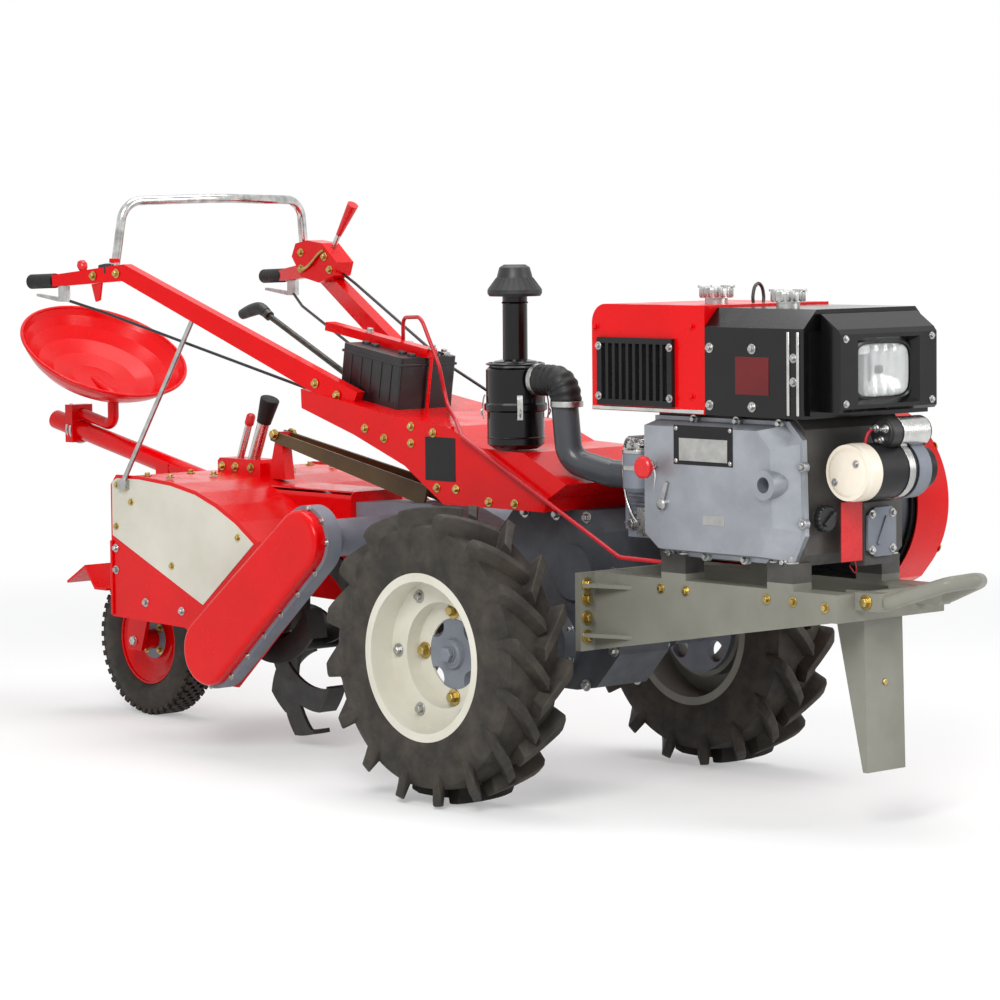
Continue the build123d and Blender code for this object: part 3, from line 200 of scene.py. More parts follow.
def at_y(pairs, y):
    """Places from (x, z) pairs, all at one y."""
    return [(x, y, z) for x, z in pairs]


def new_object(name, data):
    """An object with its data, put in the scene."""
    thing = bpy.data.objects.new(name, data)
    bpy.context.scene.collection.objects.link(thing)
    return thing


def piece(name, shape, finish, body="chassis", bevel=0.0, smooth=40.0, segments=2):
    """A mesh object in the frame, with its normals outwards, its finish and its body."""
    points, faces = shape
    mesh = bpy.data.meshes.new(name)
    mesh.from_pydata(to_frame(points).tolist(), [], faces)
    work = bmesh.new()
    work.from_mesh(mesh)
    bmesh.ops.remove_doubles(work, verts=work.verts, dist=1e-6)
    bmesh.ops.recalc_face_normals(work, faces=work.faces)
    work.to_mesh(mesh)
    work.free()
    mesh.materials.append(finish)
    mesh.shade_smooth()
    mesh.set_sharp_from_angle(angle=math.radians(smooth))
    thing = new_object(name, mesh)
    if bevel:
        round_over = thing.modifiers.new("edge", "BEVEL")
        round_over.width = bevel * MM
        round_over.segments = segments
        round_over.limit_method = "ANGLE"
    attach(thing, body)
    return thing


# Materials


def linear(hex_colour):
    """sRGB hex to a linear colour with alpha."""
    parts = [int(hex_colour[i:i + 2], 16) / 255 for i in (1, 3, 5)]
    return [c / 12.92 if c <= 0.04045 else ((c + 0.055) / 1.055) ** 2.4 for c in parts] + [1.0]


def add(tree, kind, settings=None, links=None):
    """Adds a node; settings are its properties or sockets by name, links its sockets' sources."""
    node = tree.nodes.new(kind)
    for key, value in (settings or {}).items():
        if isinstance(key, int) or key in node.inputs:
            node.inputs[key].default_value = value
        else:
            setattr(node, key, value)
    for key, source in (links or {}).items():
        tree.links.new(source, node.inputs[key])
    return node


def maths(tree, operation, first, second):
    """A maths node's result for a socket and a second one, or a plain number."""
    if isinstance(second, float):
        return add(tree, "ShaderNodeMath", {"operation": operation, 1: second}, {0: first}).outputs[0]
    return add(tree, "ShaderNodeMath", {"operation": operation}, {0: first, 1: second}).outputs[0]


def new_finish(name, colour, roughness, metallic=0.0, **sockets):
    """A Principled material with its plain values set; returns it with its tree and shader."""
    finish = bpy.data.materials.new(name)
    finish.use_nodes = True
    tree = finish.node_tree
    shader = tree.nodes["Principled BSDF"]
    shader.inputs["Base Color"].default_value = linear(colour)
    shader.inputs["Roughness"].default_value = roughness
    shader.inputs["Metallic"].default_value = metallic
    for key, value in sockets.items():
        shader.inputs[key.replace("_", " ").title().replace("Ior", "IOR")].default_value = value
    return finish, tree, shader


def place_on(tree):
    """Object coordinates, in metres."""
    return add(tree, "ShaderNodeTexCoord").outputs["Object"]


def speckle(tree, spacing_mm, detail=3.0, rough=0.55):
    """Noise whose features are about spacing_mm apart."""
    settings = {"Scale": 1.0 / (spacing_mm * MM), "Detail": detail, "Roughness": rough}
    return add(tree, "ShaderNodeTexNoise", settings, {"Vector": place_on(tree)}).outputs["Fac"]


def spread(tree, value, low, high, to_low, to_high):
    """A value from low to high mapped to another span."""
    return add(tree, "ShaderNodeMapRange", {1: low, 2: high, 3: to_low, 4: to_high}, {0: value}).outputs[0]


def tint(tree, value, dark, light):
    """A colour between two hex colours by a value from 0 to 1."""
    settings = {"data_type": "RGBA", 6: linear(dark), 7: linear(light)}
    return add(tree, "ShaderNodeMix", settings, {0: value}).outputs[2]


def relief(tree, shader, value, depth_mm):
    """Bump of a depth in millimetres."""
    bump = add(tree, "ShaderNodeBump", {"Distance": depth_mm * MM, "Strength": 1.0}, {"Height": value})
    tree.links.new(bump.outputs["Normal"], shader.inputs["Normal"])


def uneven(name, deep, light, roughness, tone, polish, skin, depth_mm, metallic=0.0,
           bloom=(0.3, 0.7), worn=(0.3, 0.7), shift=(-0.08, 0.12), **sockets):
    """A finish whose tone, polish and skin each follow a noise, given by its spacing and detail."""
    finish, tree, shader = new_finish(name, deep, roughness, metallic, **sockets)
    base = tint(tree, spread(tree, speckle(tree, *tone), *bloom, 0.0, 1.0), deep, light)
    tree.links.new(base, shader.inputs["Base Color"])
    smooth, dull = roughness + shift[0], roughness + shift[1]
    tree.links.new(spread(tree, speckle(tree, *polish), *worn, smooth, dull), shader.inputs["Roughness"])
    relief(tree, shader, speckle(tree, *skin), depth_mm)
    return finish, tree, shader, base


def enamel(name, deep, light, roughness, coat, dust, dust_share):
    """Stove enamel sprayed on steel sheet: even colour, high gloss, a faint orange peel, thin dust."""
    finish, tree, shader, base = uneven(
        name, deep, light, roughness, (160.0, 4.0), (70.0, 5.0), (4.0, 2.0), 0.04, worn=(0.3, 0.75),
        shift=(-0.05, 0.12), coat_weight=coat, coat_roughness=0.1, specular_ior_level=0.2)
    patches = spread(tree, speckle(tree, 45.0, 6.0, 0.65), 0.5, 0.85, 0.0, dust_share)
    dusty = add(tree, "ShaderNodeMix", {"data_type": "RGBA", 7: linear(dust)}, {0: patches, 6: base})
    tree.links.new(dusty.outputs[2], shader.inputs["Base Color"])
    return finish


def casting(name, deep, light, roughness, metallic=0.0, grain_mm=2.4, depth_mm=0.35):
    """Sand-cast metal under thin paint: a fine pebbled skin and slightly uneven tone."""
    return uneven(name, deep, light, roughness, (90.0, 5.0), (30.0, 5.0), (grain_mm, 3.0, 0.6), depth_mm,
                  metallic)[0]


def rubber(name, deep, light, roughness, grain_mm=3.0, depth_mm=0.25):
    """Vulcanised rubber: matte, nearly black, with a dusty bloom in patches and a fine mould skin."""
    return uneven(name, deep, light, roughness, (60.0, 6.0, 0.62), (25.0, 5.0), (grain_mm, 4.0, 0.6),
                  depth_mm, bloom=(0.38, 0.72), shift=(-0.1, 0.14), specular_ior_level=0.35)[0]


def bare_metal(name, deep, light, roughness, scratch_mm=1.2):
    """Machined or plated steel: mirror-like with fine streaks that spread its highlights."""
    return uneven(name, deep, light, roughness, (25.0, 5.0), (scratch_mm * 4, 4.0), (scratch_mm, 2.0),
                  0.03, 1.0)[0]


def moulded(name, deep, light, roughness):
    """Injection-moulded plastic: even colour and a fine spark-eroded grain."""
    return uneven(name, deep, light, roughness, (60.0, 4.0), (20.0, 4.0), (1.6, 2.0), 0.06,
                  shift=(-0.06, 0.1))[0]


RED = enamel("red_stove_enamel", "#CE0004", "#DA0107", 0.22, 0.06, "#8A0C0A", 0.05)
WHITE = enamel("white_stove_enamel", "#C6C3B4", "#D5D2C5", 0.34, 0.15, "#9A9280", 0.08)
FRAME_GREY = enamel("grey_frame_enamel", "#77766C", "#86857B", 0.42, 0.1, "#55524A", 0.12)
# The far (left) wheel's rim: the rims' white enamel darkened to grey as painted shade, for its inner side
# turned away from the light
RIM_ENAMEL_PAINTED_SHADE = enamel("rim_enamel_with_painted_shade", "#77776F", "#898880", 0.4, 0.1, "#55524A", 0.12)
BLACK = enamel("black_stove_enamel", "#060607", "#0D0D0E", 0.2, 0.3, "#2A2724", 0.05)
SATIN_BLACK = enamel("black_satin_enamel", "#121214", "#1B1B1D", 0.42, 0.1, "#3A3632", 0.12)
OLIVE = enamel("olive_brown_enamel", "#4A3E25", "#5E5233", 0.42, 0.1, "#7C6B4B", 0.2)
CREAM = enamel("cream_enamel", "#D8CDBB", "#E4DACA", 0.3, 0.3, "#8F8474", 0.1)
DULL_RED = enamel("dull_red_plate", "#5A1216", "#6B181B", 0.35, 0.2, "#2A1A18", 0.2)
GREY_PIPE = enamel("grey_pipe_enamel", "#3A3D40", "#484B4F", 0.32, 0.2, "#2C2926", 0.1)
ALUMINIUM = casting("cast_aluminium_cover", "#8C9096", "#A0A4AA", 0.38, 0.55, 2.2, 0.22)
DARK_CASTING = casting("cast_iron_dark_grey", "#33353A", "#45484E", 0.55)
BLUE_CASTING = casting("cast_iron_blue_grey", "#6A6F79", "#7C818B", 0.5, 0.1)
BROWN_CASTING = casting("cast_iron_block", "#3A3835", "#4B4844", 0.55)
BLADE = casting("forged_blade_enamel", "#131315", "#26221F", 0.45, 0.0, 5.0, 0.5)
TYRE = rubber("tyre_rubber", "#282521", "#423C34", 0.68)
HOSE = rubber("black_hose_rubber", "#101011", "#1E1D1C", 0.5, 2.0, 0.12)
GRIP = rubber("black_grip_rubber", "#0F0F10", "#1A1A1A", 0.55, 1.5, 0.1)
ZINC = bare_metal("yellow_zinc_plating", "#A08A4C", "#C4AF72", 0.34)
STEEL = bare_metal("bright_zinc_steel", "#9C9C9A", "#BEBEBC", 0.3)
SILVER = bare_metal("silver_plated_tube", "#B9B9B6", "#D4D4D1", 0.22)
CHROME = bare_metal("chromed_tube", "#9A9A98", "#D8D8D6", 0.12, 3.0)
DARK_STEEL = bare_metal("oiled_dark_steel", "#3B3A38", "#57544F", 0.38)
BRUSHED_PLATE = bare_metal("brushed_plate", "#A5A5A3", "#BDBDBA", 0.38)
REFLECTOR = bare_metal("silvered_reflector", "#E4E4E2", "#F2F2F0", 0.16)
BATTERY = moulded("battery_polypropylene", "#0C0C0E", "#161618", 0.32)
RED_PLASTIC = moulded("red_moulded_grip", "#C10B12", "#D51A1E", 0.25)
BLACK_PLASTIC = moulded("black_moulded_cap", "#101012", "#1C1C1E", 0.45)
RED_LEAD = moulded("red_cable_sheath", "#A3101F", "#B91526", 0.4)


def lamp_glass():
    """Pressed lens glass: clear with a faint cool tone and shallow flutes."""
    flute_mm, depth_mm = 14.0, 0.8
    finish, tree, shader = new_finish("pressed_lens_glass", "#F2F4F4", 0.08, 0.0,
                                      transmission_weight=0.85, ior=1.5)
    settings = {"Scale": 1.0 / (flute_mm * MM) / 6.28, "bands_direction": "Y"}
    wave = add(tree, "ShaderNodeTexWave", settings, {"Vector": place_on(tree)})
    relief(tree, shader, wave.outputs["Fac"], depth_mm)
    return finish


def cable_sheaths():
    """Moulded cable sheath: black, but red on the supply cable, which runs forward of the battery."""
    black, red = "#131314", "#B5121F"
    finish, tree, shader = new_finish("moulded_cable_sheath", black, 0.4)
    part = add(tree, "ShaderNodeSeparateXYZ", None, {0: place_on(tree)})
    forward = maths(tree, "GREATER_THAN", part.outputs["X"], AXLE_X - 0.66)
    right = maths(tree, "LESS_THAN", part.outputs["Y"], 0.035)
    both = maths(tree, "MULTIPLY", forward, right)
    tree.links.new(tint(tree, both, black, red), shader.inputs["Base Color"])
    relief(tree, shader, speckle(tree, 3.0, 2.0), 0.05)
    return finish


GLASS = lamp_glass()
CABLES = cable_sheaths()

FINISHES = {node: finish for finish, nodes in (
    (FRAME_GREY, "frame_rails frame_crossmembers front_bumper front_stand"),
    (DARK_CASTING, "gearbox drive_pulleys"),
    (BROWN_CASTING, "crankcase"),
    (ALUMINIUM, "gear_case_cover"),
    (BLUE_CASTING, "cylinder_head fuel_filter tiller_drive_case chain_case half_axle_right half_axle_left"),
    (RED, "belt_guard radiator_shell handle_console handle_arm_right handle_arm_left control_box"
          " battery_strap tiller_sides tiller_hood chain_cover depth_adjuster tail_fork tail_rim"
          " seat_tube seat_pan"),
    (SATIN_BLACK, "radiator_grilles starter_motor rotor_shaft"),
    (BLACK, "fuel_tank lamp_bracket headlight_housing air_cleaner"),
    (STEEL, "filler_caps injection_pump side_brace steering_levers"),
    (GLASS, "headlight_lens"),
    (BLACK_PLASTIC, "precleaner_cap"),
    (GREY_PIPE, "intake_pipe"),
    (GRIP, "handle_grips"),
    (CHROME, "handle_hoop"),
    (RED_PLASTIC, "clutch_lever"),
    (DARK_STEEL, "gear_shift_lever"),
    (BATTERY, "battery_box"),
    (WHITE, "side_panels rim_right"),
    (BLADE, "tines"),
    (HOSE, "rear_flap drive_belts"),
    (TYRE, "tail_tyre tyre_right tyre_left"),
    # The left rim takes the grey copy of the rims' white enamel, a painted shade on the far wheel
    (RIM_ENAMEL_PAINTED_SHADE, "rim_left"),
    (OLIVE, "link_bars"),
    (CABLES, "control_cables"),
    (SILVER, "depth_screw"),
) for node in nodes.split()}

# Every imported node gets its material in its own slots
for node_name, node_object in NODES.items():
    for material_slot in node_object.material_slots:
        material_slot.material = FINISHES[node_name]


# Drive tyres

TREAD_R = 283.0
SIDE_Y = 74.0
BARS = 16


def carcass():
    """Tyre body: bead, bulging side, and a tread whose radius falls with the square of y."""
    bead_r, bead_y, wall, crown_drop = 166.0, 67.0, 16.0, 10.0
    t = np.linspace(0, 1, 9)
    side_r = bead_r + 10 + (TREAD_R - 22 - bead_r - 10) * t
    side_y = bead_y + (SIDE_Y - bead_y + 3.0) * np.sin(math.pi * (0.15 + 0.7 * t)) ** 0.8
    crown_y = np.linspace(SIDE_Y - 8, 0, 7)
    crown_r = TREAD_R - crown_drop * (crown_y / SIDE_Y) ** 2
    half = np.vstack([[[bead_r, bead_y - 6], [bead_r + 2, bead_y]], np.stack([side_r, side_y], 1),
                      np.stack([crown_r, crown_y], 1)])
    inner = np.array([[bead_r + 4, bead_y - wall], [bead_r + 60, SIDE_Y - wall],
                      [TREAD_R - 24, SIDE_Y - wall - 4]])
    other = [1, -1]
    return lathe(np.vstack([half, (half * other)[-2::-1], inner * other, inner[::-1], half[:1]]), 96)


def traction_bar():
    """One bar: from low on the side, over the shoulder, to past the tread's middle.

    Each row of numbers goes from its foot on the side to its tip. The angle round the tyre grows
    along it, so that the bar leans forwards, and its top stands above the tread.
    """
    outside = np.array([78.0, 79.5, 79.5, 74.0, 64.0, 48.0, 32.0, 16.0, 4.0, -6.0])
    inside = np.array([70.0, 68.0, 64.0, 60.0, 56.0, 46.0, 31.0, 16.0, 4.0, -6.0])
    top = np.array([252.0, 276.0, 302.0, 311.0, 313.5, 314.5, 315.0, 315.0, 315.0, 315.0])
    low = np.array([232.0, 240.0, 250.0, 258.0, 266.0, 270.0, 274.0, 275.0, 275.0, 275.0])
    lean = np.array([0.0, 1.5, 4.5, 9.5, 18.0, 32.0, 48.0, 64.0, 77.0, 88.0]) / TREAD_R
    half_top = np.array([8.0, 10.0, 12.0, 13.0, 13.0, 13.0, 12.5, 12.5, 12.5, 12.0]) / TREAD_R
    half_low = half_top + np.array([4.0, 6.0, 8.0, 9.0, 9.0, 8.0, 8.0, 8.0, 8.0, 8.0]) / TREAD_R
    rows = []
    for share in (-1.0, -0.8, 0.0, 0.8, 1.0):
        edge = abs(share) > 0.9
        rows.append((lean + share * half_top, top - 1.5 * edge, outside - 0.6 * edge))
    for share in (1.0, -1.0):
        rows.append((lean + share * half_low, low, inside))
    angle, radius, across = [np.stack(part, 1) for part in zip(*rows)]
    points = np.stack([radius * np.cos(angle), radius * np.sin(angle), across], -1)
    return points.reshape(-1, 3), capped_faces(*angle.shape)


def tread():
    """Two rows of bars, one per side, set half a pitch apart."""
    near = traction_bar()
    far = (near[0] * [1, 1, -1], [face[::-1] for face in near[1]])
    return joined([moved(bar, Matrix.Rotation(TURN * (i + share) / BARS, 4, "Z"))
                   for i in range(BARS) for bar, share in ((near, 0.0), (far, 0.5))])


def wheel_matrix(side):
    """Puts a wheel piece made about Z on its axle, its angle growing as the wheel rolls forwards."""
    turn = Matrix(((1, 0, 0, 0), (0, 0, 1, 0), (0, -1, 0, AXLE_Z), (0, 0, 0, 1)))
    return Matrix.Translation(Vector((0, side * TRACK_HALF, 0))) @ turn


def drive_tyres():
    """Cover with its tread on each drive wheel."""
    for side, word, _ in SIDES:
        body, place = "drive_wheel_" + word, wheel_matrix(side)
        cover = piece("tyre_cover_" + word, moved(carcass(), place), TYRE, body)
        piece("tyre_bars_" + word, moved(tread(), place), TYRE, body, bevel=2.0, smooth=35)
        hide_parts("tyre_" + word)


# Fasteners


def hex_head(across, height, washer=1.9, thick=0.18):
    """Six-sided head on a round washer: two profiles turned about Z, one with six sides."""
    r, rim, base = across / math.sqrt(3), across * washer / 2, thick * across
    head = lathe([(0, base), (r, base), (r, base + height * 0.86), (r * 0.86, base + height),
                  (0, base + height)], 6)
    return joined([head, lathe([(0, -0.6), (rim, -0.6), (rim, base), (0, base)], 20)])


def screws(name, places, out, across, finish=STEEL, height=None, body="chassis"):
    """The same hexagon screw at each place, all facing one way out."""
    head = hex_head(across, height or across * 0.6)
    shapes = [at(head, place, out, 0.7 * i) for i, place in enumerate(places)]
    piece(name, joined(shapes), finish, body, bevel=0.5)


def ring_of(centre, radius, degrees):
    """(x, z) places on a circle at angles in degrees: centre + r (cos t, sin t)."""
    t = np.radians(degrees)
    return list(zip(centre[0] + radius * np.cos(t), centre[1] + radius * np.sin(t)))


def wheel_screws():
    """Six bright screws on each wheel's dish, four yellow ones through the hub, the nut and the valve."""
    axle, valve_r, valve_turn = (0, AXLE_Z), 148, 0.5
    boss = lathe([(0, 0), (27, 0), (27, 5), (22, 9), (0, 9)], 24)
    valve = lathe([(0, 0), (5, 0), (5, 14), (3.2, 16), (3.2, 30), (4.4, 31), (4.4, 40), (0, 41)], 14)
    for side, word, out in SIDES:
        body = "drive_wheel_" + word
        face, deep = side * (TRACK_HALF + 13.0), side * (TRACK_HALF - 22.0)
        dish = at_y(ring_of(axle, 138.0, range(0, 360, 60)), face)
        screws("dish_screws_" + word, dish, out, 15.0, body=body)
        hub = at_y(ring_of(axle, 92.0, range(0, 360, 90)), deep)
        screws("hub_screws_" + word, hub, out, 19.0, ZINC, 13.0, body)
        nut = joined([at(boss, (0, deep + side * 3.5, AXLE_Z), out),
                      at(hex_head(30.0, 12.0, 1.2), (0, deep + side * 11.0, AXLE_Z), out)])
        piece("axle_nut_" + word, nut, BLUE_CASTING, body, bevel=0.8)
        spot = (valve_r * math.sin(valve_turn), face, AXLE_Z - valve_r * math.cos(valve_turn))
        piece("valve_" + word, at(valve, spot, (0, side, -0.35)), DARK_STEEL, body=body)


# Engine


def cover_screws():
    """Bosses and screws round the side cover's flange."""
    places = [(430, 541), (530, 541), (640, 541), (748, 543), (800, 622), (799, 735), (738, 819),
              (620, 820), (500, 820), (387, 600), (387, 700), (388, 790)]
    boss = lathe([(0, -6), (10.5, -6), (10.5, 5), (9, 6.5), (0, 6.5)], 20)
    bosses = at_each(boss, at_y(places, -151.5), RIGHT)
    piece("cover_bosses", bosses, ALUMINIUM, bevel=0.8)
    screws("cover_screws", at_y(places, -158), RIGHT, 10.5)


def rating_plate():
    """Bare rating plate: a thin black plate with a bright field, held by four rivets."""
    x0, z0, x1, z1 = 484.0, 730.0, 650.0, 810.0
    rivet = lathe([(0, 2.4), (2.4, 2.2), (4.4, 1.2), (5.0, 0), (5.0, -0.6), (0, -0.6)], 16)
    rivets = at_each(rivet, at_y(rect(x0 + 7, z0 + 7, x1 - 7, z1 - 7), -201.6), RIGHT)
    field = plate(rect(x0 + 16, z0 + 8, x1 - 14, z1 - 26), -202.2, -201.4)
    small = plate(rect(566, 610, 626, 630), -200.9, -199.8)
    piece("cover_plate", plate(rect(x0, z0, x1, z1), -201.6, -199.8), SATIN_BLACK, bevel=0.6)
    piece("cover_plate_field", field, BRUSHED_PLATE, bevel=0.3)
    piece("cover_plate_rivets", rivets, STEEL)
    piece("small_plate", small, BRUSHED_PLATE, bevel=0.3)


def crank_socket_ring():
    """Black sealing ring round the mouth of the starting socket."""
    ring = lathe([(17.5, -0.4), (28.6, -0.4), (28.6, 1.8), (26.8, 2.6), (19.4, 2.6), (17.5, 1.8),
                  (17.5, -0.4)], 40)
    piece("crank_collar", at(ring, (746, -195, 700), RIGHT), HOSE, bevel=0.4)


def starter_trim():
    """The starter's cream end bell, bands, lead and screws, and its solenoid's sleeve, cap and studs."""
    x, z = 868.0, 724.0
    sx, sz = x + 20, 800
    bell = lathe([(0, 3.2), (40, 3.2), (51, -2), (57, -10), (58.2, -20), (58.2, -44), (56.2, -44),
                  (56.2, -1), (0, -1)], 56)
    cap = lathe([(0, 2), (26, 2), (31.4, -3), (31.4, -26), (30.1, -26), (30.1, -4), (0, -4)], 40)
    for name, shape, place, finish, slot, bevel in (
            ("starter_end_bell", bell, (x, -103, z), CREAM, "white_paint", 0.8),
            ("starter_band", band(56.1, 58.4, -9, 9, 56), (x, 30, z), STEEL, "zinc_steel", 0.5),
            ("starter_drive_housing", band(56.1, 59.5, -20, 16, 56), (x, 66, z), BLUE_CASTING,
             "dark_casting", 1),
            ("solenoid_sleeve", band(30.1, 31.6, -40, 40, 40), (sx, 52, sz), SILVER, "zinc_steel", 0.5),
            ("solenoid_cap", cap, (sx, -20, sz), BLACK_PLASTIC, "black_plastic", 0.6)):
        piece(name, at(shape, place, RIGHT), finish, bevel=bevel)
    stud = joined([hex_head(11, 7, 1.5), lathe([(0, 8), (3.5, 8), (3.5, 17), (0, 17)], 12)])
    studs = at_each(stud, [(sx + a, -22, sz + b) for a, b in ((-13, 9), (13, 9), (0, -14))], RIGHT)
    piece("solenoid_studs", studs, STEEL)
    lead = tube([(x + 7, -31, 809), (x + 4, -44, 800), (x + 2, -50, 778), (x + 4, -46, 764),
                 (x + 6, -34, 772)], 3.6, 10, 8)
    piece("starter_lead", lead, RED_LEAD)
    first = math.degrees(0.6)
    screws("starter_screws", at_y(ring_of((x, z), 34, [first, first + 180]), -106.4), RIGHT, 8.0)


def oil_filler():
    """Ribbed black cap on the crankcase's filler neck."""
    knob = fluted(26.5, 1.2, 18, 72, (-2.0, 2.0, 14.0, 17.0), (0.96, 1.0, 1.0, 0.9))
    bar = plate(rect(-19, -4.5, 19, 4.5), 16.5, 24.0, "z")
    cap = at(joined([knob, bar]), (800, -99, 630), FRONT, 0.7)
    piece("oil_filler_cap", cap, BLACK_PLASTIC, bevel=1.2)


def pump_block_trim():
    """Cover plate, rib and screws on the pump block, the bare red tag and its wire loops."""
    x = 818.0
    cover = [(8, 560), (30, 545), (80, 545), (94, 560), (94, 630), (80, 646), (30, 646), (8, 630)]
    rib = [(38, 568), (66, 622), (60, 628), (34, 574)]
    piece("pump_cover", plate(cover, x, x + 7, "x"), BLUE_CASTING, bevel=1.6)
    screws("pump_screws", [(x + 7, y, z) for y, z in rect(20, 560, 82, 632)], FRONT, 9.5)
    piece("pump_rib", plate(rib, x + 7, x + 11, "x"), BLUE_CASTING, bevel=1.0)
    tag = plate(rect(-70, 541, -8, 662), 822, 824.5, "x")
    piece("blank_tag", tag, RED_PLASTIC, bevel=0.8)
    loops = [[(822, -52, 660), (818, -54, 680), (806, -60, 688), (797, -62, 676)],
             [(824, -30, 542), (822, -24, 524), (812, -18, 516), (800, -20, 530)]]
    wires = joined([tube(loop, 1.3, 8, 8, (0, 1, 0)) for loop in loops])
    piece("tag_wires", wires, RED_LEAD)


def tank_trim():
    """Screws, folded strips and plain square on the tank, the lifting eye and both caps' rims."""
    side = -185.0
    screws("tank_screws", at_y([(572, 968), (690, 968), (572, 852), (690, 852)], side), RIGHT, 11)
    for number, x in (("1", 786.0), ("2", 812.0)):
        strip = plate(rect(x, 838, x + 7, 1004), side - 3.0, side + 0.5)
        piece("tank_strip_" + number, strip, SILVER, bevel=1.2)
    screws("strip_screws", at_y([(803, 952), (803, 905)], side - 0.4), RIGHT, 10)
    square = plate(rect(644, 876, 736, 952), side - 1.2, side + 0.4)
    piece("tank_blank_plate", square, DULL_RED, bevel=0.6)
    loop = [(0, -15, 2), (0, -16, 16), (0, -11, 34), (0, 0, 42), (0, 11, 34), (0, 16, 16), (0, 15, 2)]
    eye = shifted(tube(loop, 3.6, 10, 8, (1, 0, 0)), (532, 0, 1052))
    piece("lifting_eye", eye, DARK_STEEL)
    wing = plate([(10, -4), (36, -7), (40, 0), (36, 7), (10, 4)], 33, 38, "z")
    rim = joined([fluted(34.6, 1.0, 16, 64, (13.0, 15.0, 31.0, 34.6), (0.97, 1.0, 1.0, 0.92))]
                 + [moved(wing, Matrix.Rotation(turn, 4, "Z")) for turn in (0.5, 0.5 + math.pi)])
    for word, place in (("radiator", (470.0, -60.0, 1053.0)), ("fuel", (700.0, -90.0, 1048.0))):
        piece(word + "_cap_rim", shifted(rim, place), STEEL, bevel=0.8)


def radiator_trim():
    """Screws at the grille's corners and along the shell, a bright sill under it and the core's fins."""
    for side, word, out in SIDES:
        grille = [(x, side * 195.0, z) for x in (259, 467) for z in (862, 966)]
        screws("grille_screws_" + word, grille, out, 9)
        shell = at_y([(522, 868), (522, 1010), (242, 1005)], side * 185.0)
        screws("shell_screws_" + word, shell, out, 9, RED)
        sill = plate(rect(232, 833, 556, 841), side * 185.0, side * 187.5)
        piece("shell_sill_" + word, sill, SILVER, bevel=0.8)
        fin = plate(rect(0, 856, 2.5, 972), side * 168.0, side * 184.0)
        fins = joined([shifted(fin, (x, 0, 0)) for x in np.arange(262, 466, 6.0)])
        piece("core_fins_" + word, fins, STEEL)


def lamp_lens():
    """Reflector dish behind a fluted glass with rounded corners, in a black rim."""
    z, power, sides = 925.0, 4.6, 64
    a = angles(sides)
    c, s = np.cos(a), np.sin(a)
    fit = (np.abs(c) ** power + np.abs(s) ** power) ** (-1 / power)

    def rounded(share, x, half_w=79.0, half_h=53.0):
        """Ring of a rounded rectangle, |y/w|^n + |z/h|^n = share^n, at x."""
        return np.stack([x + 0 * a, half_w * share * fit * c, z + half_h * share * fit * s], -1)

    dish = [rounded(k, 866.0 - 9.0 * (1 - k * k)) for k in (1.0, 0.9, 0.75, 0.55, 0.35, 0.15)]
    dish += [rounded(0.15, 856.6), rounded(1.0, 856.6)]
    dish = (np.vstack(dish), grid_faces(len(dish), sides, wrap_rows=True))
    piece("lamp_reflector", dish, REFLECTOR)
    glass = [rounded(k, x) for k, x in ((0.06, 868), (0.98, 868), (1.0, 869), (0.99, 871.5), (0.93, 873.4),
                                        (0.7, 875), (0.4, 875.8), (0.06, 876))]
    lens = piece("lamp_glass", (np.vstack(glass), capped_faces(len(glass), sides)), GLASS)
    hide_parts("headlight_lens")
    rim = [rounded(1.0, x, w, h) for x, w, h in ((867, 80.5, 54.5), (874, 80.5, 54.5), (876, 84, 58),
                                                 (874, 88, 62), (869, 88, 62))]
    rim = (np.vstack(rim), grid_faces(len(rim), sides, wrap_rows=True))
    piece("lamp_rim", rim, BLACK)
    screws("lamp_screws", [(890, y, z) for y in (-128, 128) for z in (862, 990)], FRONT, 8)


def cleaner_trim():
    """Beads and four clips on the air cleaner, ribs on its cap, and the clamped black elbow beside it."""
    x, y = -64.0, -134.0
    beads = []
    for z, r in ((918, 63), (760, 62), (1050, 28)):
        bead = lathe([(r - 4, -3), (r, -2), (r + 1.6, 0), (r, 2), (r - 4, 3), (r - 4, -3)], 56)
        beads.append(shifted(bead, (x, y, z)))
    piece("cleaner_beads", joined(beads), BLACK)
    line = ((69.4, 800), (71.5, 812), (71.8, 826), (69.6, 844), (66.6, 852))
    bow = ((72, 806), (76, 815), (72, 822))
    for number, turn in (("1", -35), ("2", 55), ("3", 145), ("4", 235)):
        c, s = math.cos(math.radians(turn)), math.sin(math.radians(turn))
        path = curve([(x + r * c, y + r * s, z) for r, z in line], 6)
        strap = sweep(path, rect(-6, -1, 6, 1), (-c, -s, 0))
        hook = tube([(x + r * c, y + r * s, z) for r, z in bow], 1.6, 8, 5, (-s, c, 0))
        piece("cleaner_clip_" + number, joined([strap, hook]), STEEL)
    rib = plate([(44, 1079), (58, 1080), (40, 1104), (36, 1104)], -1.2, 1.2)
    ribs = [moved(rib, turned((x, y, 0), turn)) for turn in angles(24)]
    piece("cap_ribs", joined(ribs), BLACK_PLASTIC, bevel=0.5)
    run = curve([(2, -134, 885), (40, -133, 885), (70, -131, 882), (86, -129, 862), (90, -128, 830)], 12)
    wave = 1.0 + 0.035 * np.cos(np.linspace(0, TURN * 9, len(run)))
    piece("cleaner_elbow", sweep(run, circle(33.0, 28), (0, 1, 0), wave), HOSE)
    clamp = band(33, 35.4, -6, 6, 40)
    clamps = joined([at(clamp, (12, -134, 885), FRONT), at(clamp, (90.5, -128, 836), UP)])
    piece("hose_clamps", clamps, STEEL, bevel=0.4)


